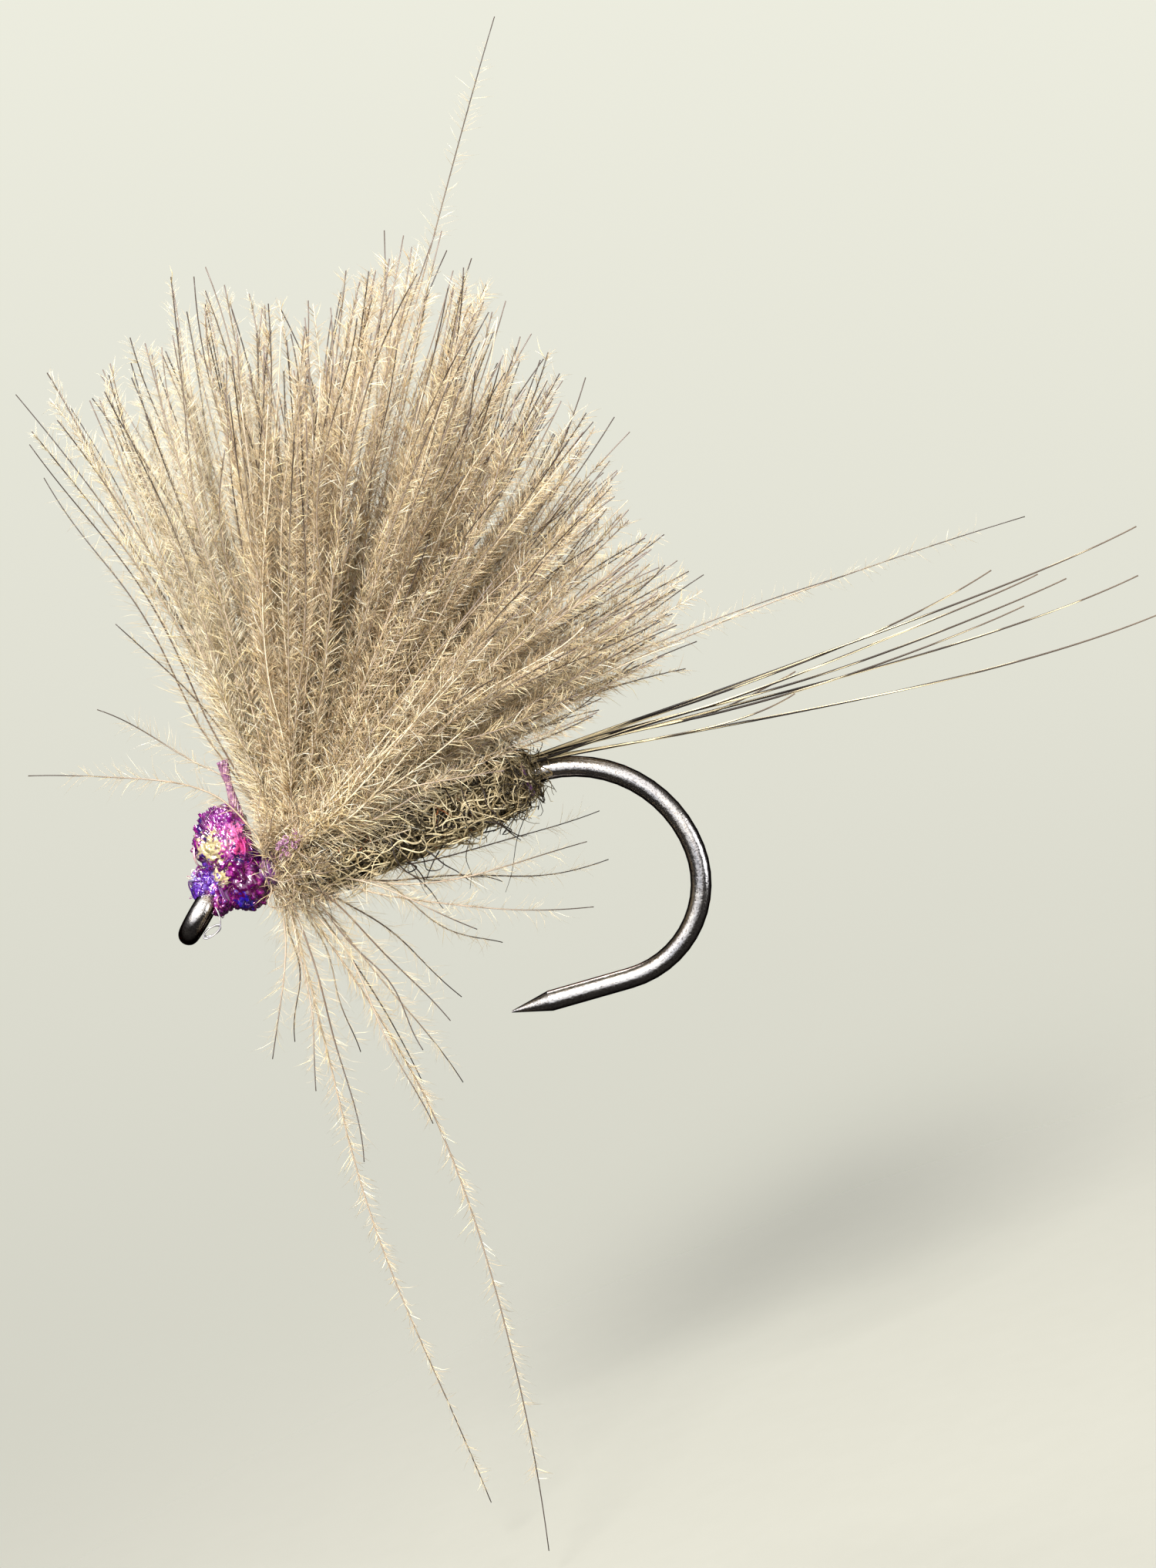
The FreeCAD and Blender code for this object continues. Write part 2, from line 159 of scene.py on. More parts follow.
# each tail fibre's tip measured from its root: back, across, up
TAIL_TIPS = (
    (11.3, -1.1, 0.2),
    (13.4, -0.5, -1.6),
    (5.8, -0.4, -0.6),
    (13.5, -0.3, 0.15),
    (10.8, 0.0, -0.6),
    (11.8, 0.3, -0.4),
    (13.2, 0.6, -0.9),
    (5.9, 0.4, -0.3),
    (10.4, 1.1, 0.3),
)

# where hairs start along the body
BODY_SPAN = (LOOP_HIGH[0] + 0.05, LASHING_HIGH[0] - 0.12)
BODY_REAR = (BODY_HIGH[0] - 0.15, LASHING_HIGH[0] - 0.02)
BODY_LAST = (BODY_HIGH[0] - 0.5, BODY_HIGH[0])
LASHING_SPAN = (LASHING_LOW[0], LASHING_HIGH[0] + 0.1)
CORE_END_R = 0.32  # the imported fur's radius at both ends
FUR_CLOSES = 1.12  # where the fur ends, in lengths of the CAD's abdomen

# layers of hair from the skin outwards: count, length, lift, curvature, radius, tones and what else differs
FUR_LAYERS = (
    (1300, 0.9, 0.05, 2.0, 0.012, (0.0, 0.32), {}),
    (560, 1.1, 0.26, 3.0, 0.019, (0.40, 0.84), {}),
    (260, 1.2, 0.38, 1.7, 0.022, (0.50, 0.87), {}),
    (45, 0.9, 0.12, 3.0, 0.015, (0.89, 0.915), {}),
    (360, 0.8, 0.32, 3.2, 0.016, (0.0, 0.60), dict(x_range=BODY_REAR, past=0.55)),
    (150, 1.0, 0.62, 3.6, 0.013, (0.2, 0.86), dict(rarity=1.2)),
    (150, 0.9, 0.60, 2.4, 0.014, (0.0, 0.66), dict(x_range=LASHING_SPAN, around=0.0, rarity=1.0, past=0.8)),
)
BLACK = (0.95, 0.99)  # the tones of guard hairs
GUARD_LAYERS = (
    (46, 1.4, 1.1, 1.4, 0.017, BLACK, {}),
    (16, 1.3, 1.5, 2.4, 0.018, BLACK, dict(x_range=BODY_LAST, around=0.0)),
    (10, 1.2, 1.3, 2.4, 0.018, BLACK, dict(x_range=BODY_LAST, around=math.pi)),
    (22, 1.2, 1.5, 0.25, 0.016, BLACK, dict(rarity=0.8)),
)

GROOVE_SHARPNESS = 14  # how sharply the lumps of the head meet
# the head's lumps as centre and half sizes: first the whole wad, then its bulges
REAR_LUMPS = (
    (REAR_WAD, REAR_WAD_R * (0.86, 0.86, 0.84)),
    (REAR_WAD + (-0.28, 0.0, 0.36), (0.46, 0.46, 0.42)),
    (REAR_WAD + (0.02, 0.0, -0.60), (0.46, 0.52, 0.48)),
    (REAR_WAD + (0.14, 0.0, 0.62), (0.32, 0.36, 0.46)),
    (REAR_WAD + (-0.30, 0.0, -0.24), (0.30, 0.46, 0.38)),
    (REAR_WAD + (-0.04, 0.0, 0.16), (0.50, 0.54, 0.56)),
)
FRONT_LUMPS = (
    (FRONT_WAD + (-0.04, 0.0, 0.13), FRONT_WAD_R * (0.96, 0.88, 0.90)),
    (FRONT_WAD + (0.18, 0.0, 0.08), (0.24, 0.32, 0.30)),
    (FRONT_WAD + (0.15, 0.0, -0.22), (0.27, 0.38, 0.28)),
)
LUMP_STRANDS = (34, 26, 22, 14, 10, 30, 20, 8, 12)  # strands round each lump in turn
# where tinsel is caught behind the wing, from the lowest corner of the strands there
CAUGHT_TINSEL = (WING_TINSEL_LOW + (0.28, -0.38, 0.73), WING_TINSEL_LOW + (0.02, -0.38, 0.60))

# the head's colour patches and painted highlights: place in half sizes of the rear wad, reach in mm, colour
HEAD_HUES_AND_HIGHLIGHTS = (
    ((0.26, -0.5, 0.86), 0.42, (0.16, 0.004, 0.17)),
    # darker wine towards the foot of the rear wad
    ((0.07, -0.8, -0.55), 0.55, (0.075, 0.001, 0.055)),
    # painted pink highlights
    ((0.55, -0.7, 0.20), 0.22, (0.60, 0.04, 0.25)),
    ((0.50, -0.6, 0.48), 0.19, (0.66, 0.13, 0.38)),
    # painted pale gold highlights
    ((-0.74, -0.7, 0.36), 0.36, (0.46, 0.37, 0.19)),
    ((-0.80, -0.7, -0.18), 0.24, (0.66, 0.54, 0.28)),
    # blue and violet patches of the pearl film
    ((-0.20, -0.7, -0.80), 0.27, (0.020, 0.007, 0.30)),
    ((-2.0, -0.6, -0.20), 0.50, (0.10, 0.022, 0.33)),
    ((-2.3, -0.5, 0.0), 0.22, (0.42, 0.46, 0.70)),
)


# ---- Strand geometry ----
def unit(vectors):
    """The vectors scaled to length one."""
    return vectors / np.maximum(np.linalg.norm(vectors, axis=-1, keepdims=True), 1e-12)


def bezier(controls, stations):
    """Points along Bezier curves; each of the controls holds one control point of every curve."""
    t = np.linspace(0, 1, stations)[None, :, None]
    rows = [control[:, None, :] for control in controls]
    while len(rows) > 1:
        rows = [a + (b - a) * t for a, b in zip(rows, rows[1:])]
    return rows[0]


def carried_frames(paths):
    """Tangents, and two normals carried along each path without twist."""
    tangents = unit(np.gradient(paths, axis=1))
    seed = np.where(np.abs(tangents[:, 0, 1:2]) < 0.8, [[0.0, 1.0, 0.0]], [[0.0, 0.0, 1.0]])
    normal = unit(np.cross(tangents[:, 0], seed))
    normals = [normal]
    for s in range(1, paths.shape[1]):
        t = tangents[:, s]
        normal = unit(normal - t * np.sum(normal * t, axis=-1, keepdims=True))
        normals.append(normal)
    normals = np.stack(normals, axis=1)
    return tangents, normals, np.cross(tangents, normals)


def waver(paths, rng, amplitude, waves):
    """The paths with a smooth sideways wander that starts from nothing at the root."""
    count, stations, _ = paths.shape
    t = np.linspace(0, 1, stations)[None, :]
    _, normals, binormals = carried_frames(paths)
    moved = paths.copy()
    for axis in (normals, binormals):
        size = rng.normal(0, amplitude, (count, 1))
        cycles = waves * rng.uniform(0.6, 1.4, (count, 1)) * t
        wave = np.sin(2 * math.pi * cycles + rng.uniform(0, ANY_PHASE, (count, 1)))
        wave -= wave[:, :1]
        moved += axis * (size * wave * np.minimum(1, 3 * t))[:, :, None]
    return moved


def ring_quads(rings, sides):
    """The quads between rings of points, and the ring and side number of each corner."""
    i, j = np.meshgrid(np.arange(rings - 1), np.arange(sides), indexing="ij")
    i, j = i.ravel(), j.ravel()
    ring = np.stack([i, i, i + 1, i + 1], axis=1)
    side = np.stack([j, j + 1, j + 1, j], axis=1)
    return ring * sides + side % sides, ring, side


def tubes(paths, radii, tones, sides=3, flat=1.0, spin=None, pointed=False):
    """Closed tubes round the paths, as (points, corners, polygon sizes, uv).

    radii holds one radius for each curve and station, or one for all of either. flat squashes the section,
    spin turns it about the path, in radians, and pointed brings the last station to a point.
    """
    count, stations, _ = paths.shape
    _, normals, binormals = carried_frames(paths)
    angles = np.arange(sides) * 2 * math.pi / sides
    a, b = np.cos(angles), flat * np.sin(angles)
    if spin is not None:
        c, s = np.cos(spin)[:, :, None], np.sin(spin)[:, :, None]
        a, b = a * c - b * s, a * s + b * c
    out = a[..., None] * normals[:, :, None, :] + b[..., None] * binormals[:, :, None, :]
    points = paths[:, :, None, :] + radii[:, :, None, None] * out
    rings = stations - 1 if pointed else stations
    points = points[:, :rings].reshape(count, rings * sides, 3)
    if pointed:
        points = np.concatenate([points, paths[:, -1:]], axis=1)
    per_tube = points.shape[1]

    quads, ring, side = ring_quads(rings, sides)
    v_step = 1 / (stations - 1)
    j = np.arange(sides)
    last = (rings - 1) * sides
    cap_u = np.full((1, sides), 0.5)
    if pointed:
        ends = np.stack([last + j, last + (j + 1) % sides, np.full(sides, rings * sides)], axis=1)
        end_u = np.stack([j, j + 1, j + 0.5], axis=1) / sides
        end_v = np.tile([1 - v_step, 1 - v_step, 1.0], (sides, 1))
    else:
        ends, end_u, end_v = (last + j)[None], cap_u, np.ones((1, sides))
    groups = (
        (quads, side / sides, ring * v_step),
        (ends, end_u, end_v),
        (j[::-1][None], cap_u, np.zeros((1, sides))),
    )

    strip = np.floor(np.clip(tones, 0, 0.9999) * STRIPS)
    corners, sizes, uvs = [], [], []
    offset = (np.arange(count) * per_tube)[:, None, None]
    for faces, u, v in groups:
        corners.append((faces[None] + offset).ravel())
        sizes.append(np.full(count * len(faces), faces.shape[1]))
        whole_u = (strip[:, None, None] + u[None]) / STRIPS
        whole_v = np.broadcast_to(v[None], whole_u.shape)
        uvs.append(np.stack([whole_u.ravel(), whole_v.ravel()], axis=1))
    return points.reshape(-1, 3), np.concatenate(corners), np.concatenate(sizes), np.concatenate(uvs)


def joined(parts):
    """Several (points, corners, sizes, uv) sets as one."""
    points, corners, sizes, uvs = zip(*parts)
    offsets = np.cumsum([0] + [len(some) for some in points[:-1]])
    corners = [some + offset for some, offset in zip(corners, offsets)]
    return tuple(np.concatenate(some) for some in (points, corners, sizes, uvs))


def placed(name, data):
    """A new object in the scene."""
    obj = bpy.data.objects.new(name, data)
    bpy.context.scene.collection.objects.link(obj)
    return obj


def piece(name, part, look, nodes):
    """A smooth-shaded mesh object in metres, from one (points, corners, sizes, uv) set in millimetres.

    A look is a material and the slot it fills; the slot is not used. The piece stands in for the CAD nodes
    named in nodes.
    """
    material, slot = look
    points, corners, sizes, uv = part
    mesh = bpy.data.meshes.new(name)
    mesh.vertices.add(len(points))
    mesh.vertices.foreach_set("co", (points * MM).astype(np.float32).ravel())
    mesh.loops.add(len(corners))
    mesh.loops.foreach_set("vertex_index", corners.astype(np.int32))
    mesh.polygons.add(len(sizes))
    starts = np.concatenate([[0], np.cumsum(sizes)[:-1]])
    mesh.polygons.foreach_set("loop_start", starts.astype(np.int32))
    mesh.polygons.foreach_set("use_smooth", np.ones(len(sizes), bool))
    layer = mesh.uv_layers.new(name="OFBake")
    layer.data.foreach_set("uv", uv.astype(np.float32).ravel())
    mesh.update(calc_edges=True)
    mesh.validate()
    mesh.materials.append(material)
    obj = placed(name, mesh)
    if nodes:
        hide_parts(*nodes)
    return obj


def fixed(name, part, look, *nodes):
    """A piece that rides on the hook."""
    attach(piece(name, part, look, nodes), "hook_body")


def bending(name, part, look, body, direction, *nodes, hinge=WING):
    """A piece made in place, with its transform applied to its mesh; body and direction are not used."""
    obj = piece(name, part, look, nodes)
    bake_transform(obj)


# ---- Feather barbs and their down ----
def fan(sweep, side, reach, upright=1.0):
    """Points at reach from the wing's hinge: sweep degrees back from upright, side degrees across."""
    a, b = np.radians(sweep), np.radians(side)
    flat = reach * np.cos(b)
    offset = np.stack([flat * np.sin(a), reach * np.sin(b), upright * flat * np.cos(a)], axis=-1)
    return WING + offset


def loop_points(along, around):
    """Where barbs leave the loop: along is -1 to 1 of its width, around is degrees from the top."""
    a = np.radians(around)
    out = LOOP_R * 0.95
    offset = np.stack([LOOP_HALF * 0.9 * along, out * np.sin(a), out * np.cos(a)], axis=-1)
    return WING + offset


def wing_roots(sweep, side):
    """Where wing barbs leave the loop; the front ones start no further forward than its middle."""
    return loop_points(0.15 + 0.75 * np.sin(np.radians(sweep - 12)), np.clip(3.0 * side, -75, 75))


def wing_paths(rng, count, sweep_range, side_max, short, stations=28):
    """Barbs of one bunch, loosely gathered in clumps, bowing away from the middle of the fan."""
    clumps = max(3, count // 6)
    low, high = sweep_range
    clump_sweep = low + (high - low) * (np.arange(clumps) + rng.random(clumps)) / clumps
    clump_reach = rng.uniform(0.94, 1.03, clumps)
    own = rng.integers(0, clumps, count)
    sweep = np.clip(clump_sweep[own] + rng.normal(0, 3.4, count), low - 1.5, high + 2)
    side = 1.25 * side_max * (rng.random(count) + rng.random(count) - 1)
    reach = np.interp(sweep, OUTLINE_SWEEP, OUTLINE_REACH) * clump_reach[own]
    reach *= 1 - short * rng.random(count) ** 1.7
    away = sweep - FAN_MIDDLE
    controls = [
        wing_roots(sweep, side),
        fan(FAN_MIDDLE + 0.84 * away + rng.normal(0, 3.0, count), 0.9 * side, reach * 0.34),
        fan(FAN_MIDDLE + 0.96 * away + rng.normal(0, 2.4, count), 1.05 * side, reach * 0.70),
        fan(sweep + rng.normal(0, 1.8, count), side + rng.normal(0, 3, count), reach),
    ]
    return waver(bezier(controls, stations), rng, 0.11, 1.1)


def flank_paths(rng, count, stations=24):
    """Barbs of the rear bunch that lie back along both sides of the body."""
    hand = rng.choice([-1, 1], count)
    sweep = rng.uniform(56, 90, count)
    side = hand * rng.uniform(9, 26, count)
    reach = rng.uniform(3.0, 7.6, count) * np.interp(sweep, (76, 84), (1.0, 0.55))
    controls = [
        loop_points(rng.uniform(0.2, 1.0, count), hand * rng.uniform(25, 80, count)),
        fan(sweep - 8, 1.9 * side, reach * 0.33),
        fan(sweep + rng.normal(0, 3, count), 1.35 * side, reach * 0.68),
        fan(sweep + rng.normal(0, 2, count), side, reach),
    ]
    return waver(bezier(controls, stations), rng, 0.08, 1.0)


def shaft_tubes(paths, tones, root_r=0.016, tip_r=0.013, sides=5):
    """The barbs' own shafts."""
    t = np.linspace(0, 1, paths.shape[1])[None, :]
    return tubes(paths, root_r + (tip_r - root_r) * t, tones, sides=sides)


def down_tubes(
    paths, tones, rng, per_mm=41, length=0.70, radius=0.0072, bare=0.02, lean=36, paleness=0.1, painted_glint_share=0.2
):
    """The barbules that fringe the barbs, in two loose rows that twist slowly round each shaft.

    They are longest near the root. bare is the share of each barb that has lost its barbules at the tip, lean
    is the angle between barbules and shaft, paleness lightens them all, and the last argument is the share
    of them painted as glints in the brightest tones.
    """
    count, stations, _ = paths.shape
    bare = bare * np.ones(count)
    fringed = 1 - DOWN_START - bare
    tangents, normals, binormals = carried_frames(paths)
    lengths = np.linalg.norm(np.diff(paths, axis=1), axis=-1).sum(axis=1)
    numbers = np.maximum(1, (lengths * per_mm * fringed).astype(int))
    barb = np.repeat(np.arange(count), numbers)
    total = len(barb)
    t = DOWN_START + fringed[barb] * rng.random(total) ** 1.15
    place = t * (stations - 1)
    i = np.minimum(place.astype(int), stations - 2)
    f = (place - i)[:, None]

    def at(values):
        return values[barb, i] * (1 - f) + values[barb, i + 1] * f

    origin, along, n, b = at(paths), unit(at(tangents)), at(normals), at(binormals)
    row = rng.integers(0, 2, total) * math.pi
    vane = rng.uniform(0, ANY_PHASE, count)[barb] + rng.normal(0, 3.0, count)[barb] * t + row
    vane += rng.normal(0, 0.6, total)
    tilt = np.radians(rng.normal(lean + 12 * t, 13, total))[:, None]
    out = np.cos(vane)[:, None] * n + np.sin(vane)[:, None] * b
    heading = unit(np.cos(tilt) * along + np.sin(tilt) * out)
    bent = unit(heading + rng.normal(0, 0.20, (total, 3)) + 0.06 * out)
    # painted glints: a share of the barbules, fewer towards the tip, take the brightest tones
    bright = rng.random(total) < painted_glint_share * (1 - 0.5 * t)
    size = length * rng.uniform(0.4, 1.2, total) * (1 - 0.42 * t) * (1 + 0.15 * bright)
    half = (size / 2)[:, None]
    middle = origin + heading * half
    path = np.stack([origin, middle, middle + bent * half], axis=1)
    stout = rng.uniform(0.7, 1.1, total) * (1.05 - 0.25 * t) + 0.45 * bright
    radii = radius * np.array([[1.0, 0.9, 0.35]]) * stout[:, None]
    pale = np.clip(0.10 * t + paleness + 0.16 * (tones[barb] - 0.5) + rng.normal(0, 0.11, total), 0, 0.80)
    # the painted glints take tones from 0.86 up, the rest their own tan to pale grey
    down_tones = np.where(bright, rng.uniform(0.86, 1, total), pale)
    return tubes(path, radii, down_tones, sides=3, pointed=True)


# ---- Shader building ----
NONE, ALL = (0, 0, 0), (1, 1, 1)  # black and white, as shares


class Shader:
    """A node tree, with short ways to add and join nodes."""

    def __init__(self, name, kind="Material"):
        """A new Material or World with an empty tree."""
        owners = {"Material": bpy.data.materials, "World": bpy.data.worlds}[kind]
        self.owner = owners.new(name)
        self.owner.use_nodes = True
        self.tree = self.owner.node_tree
        self.tree.nodes.clear()
        self.output = self.tree.nodes.new("ShaderNodeOutput" + kind)

    def node(self, kind, inputs=None, **settings):
        """A node; inputs maps socket names or numbers to values or to other nodes' output sockets."""
        made = self.tree.nodes.new("ShaderNode" + kind)
        for key, value in settings.items():
            setattr(made, key, value)
        for key, value in (inputs or {}).items():
            socket = made.inputs[key]
            if isinstance(value, bpy.types.NodeSocket):
                self.tree.links.new(value, socket)
            else:
                socket.default_value = (*value, 1) if socket.type == "RGBA" else value
        return made

    def add(self, kind, inputs=None, output=0, **settings):
        """One output of a new node."""
        return self.node(kind, inputs, **settings).outputs[output]

    def ramp(self, factor, stops, interpolation="LINEAR"):
        """A colour that changes with factor; stops holds (position, (r, g, b))."""
        made = self.node("ValToRGB", {0: factor})
        made.color_ramp.interpolation = interpolation
        elements = made.color_ramp.elements
        while len(elements) > 1:
            elements.remove(elements[0])
        for i, (position, colour) in enumerate(stops):
            element = elements[0] if i == 0 else elements.new(position)
            element.position = position
            element.color = (*colour, 1)
        return made.outputs[0]

    def mix(self, factor, a, b, blend="MIX"):
        """Colour a to colour b."""
        return self.add("Mix", {0: factor, 6: a, 7: b}, 2, data_type="RGBA", blend_type=blend)

    def shaded(self, colour, noise, low, dark, high, bright):
        """The colour times dark where the noise is low, and times bright where it is high."""
        return self.mix(1.0, colour, self.ramp(noise, [(low, dark), (high, bright)]), "MULTIPLY")

    def maths(self, operation, *values):
        """An arithmetic node's result."""
        return self.add("Math", dict(enumerate(values)), operation=operation)

    def spread(self, low, noise, gain):
        """low plus gain times the noise."""
        return self.maths("ADD", low, self.maths("MULTIPLY", noise, gain))

    def place(self):
        """The point in the object's own space."""
        return self.add("TexCoord", output="Object")

    def object_noise(self, scale, detail=3.0, roughness=0.6):
        """Noise in the object's own space; scale is features per metre."""
        inputs = {"Vector": self.place(), "Scale": scale, "Detail": detail, "Roughness": roughness}
        return self.add("TexNoise", inputs)

    def bump(self, height, strength, distance_mm):
        """A normal from a height."""
        return self.add("Bump", {"Height": height, "Strength": strength, "Distance": distance_mm * MM})

    def hues_and_highlights(self, colour, noise, raggedness):
        """The colour with the head's colour patches and painted highlights over it, their edges made ragged
        by the noise.
        """
        place = self.place()
        ragged = self.maths("MULTIPLY", self.maths("SUBTRACT", noise, 0.5), raggedness)
        for centre, reach, patch_colour in HEAD_HUES_AND_HIGHLIGHTS:
            middle = (REAR_WAD + REAR_WAD_R * centre) * MM
            away = self.add("VectorMath", {0: place, 1: tuple(middle)}, "Value", operation="DISTANCE")
            share = self.maths("ADD", self.maths("DIVIDE", away, reach * MM), ragged)
            factor = self.ramp(share, [(0.62, ALL), (0.98, NONE)])
            colour = self.mix(factor, colour, patch_colour)
        return colour

    def rim(self, low, high, colour):
        """Painted edge shade: white where the surface faces the eye, running to the colour at its edges."""
        facing = self.add("LayerWeight", {"Blend": 0.5}, "Facing")
        return self.ramp(facing, [(low, ALL), (high, colour)])

    def blended(self, share, a, b):
        """Surface a to surface b."""
        return self.add("MixShader", {0: share, 1: a, 2: b})

    def principled(self, colour, roughness, **others):
        """A Principled surface; names in others have _ for a space."""
        inputs = {name.replace("_", " "): value for name, value in others.items()}
        inputs.update({"Base Color": colour, "Roughness": roughness})
        return self.add("BsdfPrincipled", inputs)

    def glowing(self, colour, roughness, share, **others):
        """A Principled surface with a share of the light passing through it to the far side."""
        through = self.add("BsdfTranslucent", {"Color": colour})
        return self.blended(share, self.principled(colour, roughness, **others), through)

    def finish(self, surface):
        """Connects the surface and returns the tree's owner."""
        self.tree.links.new(surface, self.output.inputs[0])
        return self.owner


class StrandShader(Shader):
    """A material for strands, with each one's tone, how far along it a point is, and a noise from both."""

    def __init__(self, name, tone_scale, along_scale, detail=2.0):
        super().__init__(name)
        parts = self.node("SeparateXYZ", {0: self.add("UVMap", uv_map="OFBake")})
        self.tone, self.along = parts.outputs[0], parts.outputs[1]
        self.noise = self.strand_noise(tone_scale, along_scale, detail)

    def strand_noise(self, tone_scale, along_scale, detail):
        """Noise that differs between strands and changes along each one."""
        across = self.maths("MULTIPLY", self.tone, tone_scale)
        lengthways = self.maths("MULTIPLY", self.along, along_scale)
        vector = self.add("CombineXYZ", {0: across, 1: lengthways})
        return self.add("TexNoise", {"Vector": vector, "Scale": 1.0, "Detail": detail})


def down_material():
    """Barbules with a waxy gleam: tan to pale grey by tone, and the highest tones painted glints in bright
    gold and cream.
    """
    sh = StrandShader("feather_down", 90.0, 2.0)
    colour = sh.ramp(sh.tone, [
        (0.0, (0.46, 0.34, 0.20)),
        (0.16, (0.74, 0.59, 0.38)),
        (0.36, (0.82, 0.71, 0.52)),
        (0.60, (0.88, 0.81, 0.65)),
        (0.80, (0.90, 0.86, 0.77)),
        # painted glints: bright gold and cream
        (0.86, (0.99, 0.86, 0.56)),
        (0.93, (1.0, 0.94, 0.74)),
        (1.0, (1.0, 0.99, 0.93)),
    ])
    colour = sh.shaded(colour, sh.noise, 0.3, (0.86, 0.85, 0.84), 0.7, (1.08, 1.07, 1.05))
    return sh.finish(sh.glowing(colour, sh.spread(0.22, sh.noise, 0.2), 0.52, Specular_IOR_Level=0.8))


def shaft_material():
    """Barb shafts by tone: cream, mauve-tan, tan with a dark brown tip, or brown all along."""
    sh = StrandShader("feather_shaft", 70.0, 9.0)
    colour = sh.ramp(sh.along, [(0.0, (0.86, 0.77, 0.60)), (1.0, (0.66, 0.57, 0.45))])
    # each further look takes over between two tones, and has a root, a middle and a tip colour
    for low, high, *stops in (
        (0.08, 0.10, (0.0, (0.64, 0.53, 0.40)), (0.75, (0.46, 0.38, 0.31)), (1.0, (0.17, 0.13, 0.115))),
        (0.40, 0.50, (0.0, (0.58, 0.48, 0.36)), (0.60, (0.42, 0.34, 0.27)), (0.90, (0.05, 0.033, 0.025))),
        (0.84, 0.88, (0.0, (0.26, 0.19, 0.14)), (0.4, (0.13, 0.088, 0.062)), (0.9, (0.045, 0.030, 0.024))),
    ):
        colour = sh.mix(sh.ramp(sh.tone, [(low, NONE), (high, ALL)]), colour, sh.ramp(sh.along, stops))
    colour = sh.shaded(colour, sh.noise, 0.3, (0.78, 0.76, 0.74), 0.7, (1.1, 1.08, 1.05))
    return sh.finish(sh.glowing(colour, sh.spread(0.3, sh.noise, 0.25), 0.2))


def tail_material():
    """Near-black stiff fibres with cream bars of uneven length."""
    sh = StrandShader("barred_fibre", 300.0, 6.5, 0.0)
    fine = sh.strand_noise(500.0, 60.0, 1.0)
    bars = sh.maths("SUBTRACT", sh.noise, sh.maths("MULTIPLY", sh.along, 0.20))
    stops = [(0.3, (0.012, 0.008, 0.006)), (0.65, (0.030, 0.020, 0.014)), (1.0, (0.11, 0.08, 0.06))]
    dark = sh.ramp(sh.along, stops)
    choice = sh.ramp(bars, [(0.49, NONE), (0.515, ALL)])
    colour = sh.mix(choice, dark, (0.74, 0.63, 0.42))
    colour = sh.shaded(colour, fine, 0.3, (0.8, 0.8, 0.8), 0.7, (1.1, 1.08, 1.0))
    return sh.finish(sh.principled(colour, 0.5, Specular_IOR_Level=0.2))


def fur_material():
    """Dubbing hairs: olive and brown underfur, tan and cream hairs, a few rust ones and black guard hairs."""
    sh = StrandShader("body_fur", 120.0, 4.0)
    colour = sh.ramp(sh.tone, [
        (0.0, (0.030, 0.020, 0.010)),
        (0.22, (0.085, 0.062, 0.022)),
        (0.40, (0.19, 0.135, 0.06)),
        (0.50, (0.46, 0.36, 0.20)),
        (0.76, (0.78, 0.67, 0.45)),
        (0.86, (0.88, 0.78, 0.56)),
        (0.88, (0.42, 0.12, 0.035)),
        (0.92, (0.38, 0.10, 0.03)),
        (0.94, (0.025, 0.016, 0.012)),
    ])
    colour = sh.shaded(colour, sh.noise, 0.3, (0.62, 0.6, 0.56), 0.7, (1.12, 1.1, 1.05))
    return sh.finish(sh.glowing(colour, sh.spread(0.28, sh.noise, 0.3), 0.15))


def core_material():
    """The dark packed fur seen between the hairs."""
    sh = Shader("fur_core")
    noise = sh.object_noise(9000.0)
    stops = [(0.3, (0.016, 0.011, 0.006)), (0.55, (0.045, 0.032, 0.014)), (0.75, (0.11, 0.08, 0.035))]
    return sh.finish(sh.principled(sh.ramp(noise, stops), 0.8, Normal=sh.bump(noise, 1.0, 0.05)))


def tinsel_material():
    """Violet pearl tinsel: blue, violet, magenta, rose or pearl strands, with a shifting gloss and painted
    highlights.
    """
    sh = StrandShader("violet_tinsel", 60.0, 5.0)
    colour = sh.ramp(sh.spread(sh.maths("MULTIPLY", sh.tone, 0.72), sh.noise, 0.28), [
        (0.12, (0.03, 0.012, 0.36)),
        (0.24, (0.07, 0.004, 0.12)),
        (0.42, (0.19, 0.006, 0.17)),
        (0.54, (0.42, 0.02, 0.32)),
        (0.62, (0.22, 0.05, 0.11)),
        (0.74, (0.72, 0.28, 0.46)),
        (0.84, (0.92, 0.84, 0.66)),
    ])
    # the head's colour patches and painted pink and gold highlights, over the strands' own colours
    colour = sh.mix(0.7, colour, sh.hues_and_highlights(colour, sh.noise, 2.2))
    film = dict(Coat_Weight=1.0, Coat_Roughness=0.04, Thin_Film_Thickness=420.0, Thin_Film_IOR=1.5)
    return sh.finish(sh.glowing(colour, sh.spread(0.10, sh.noise, 0.18), 0.25, Metallic=0.35, **film))


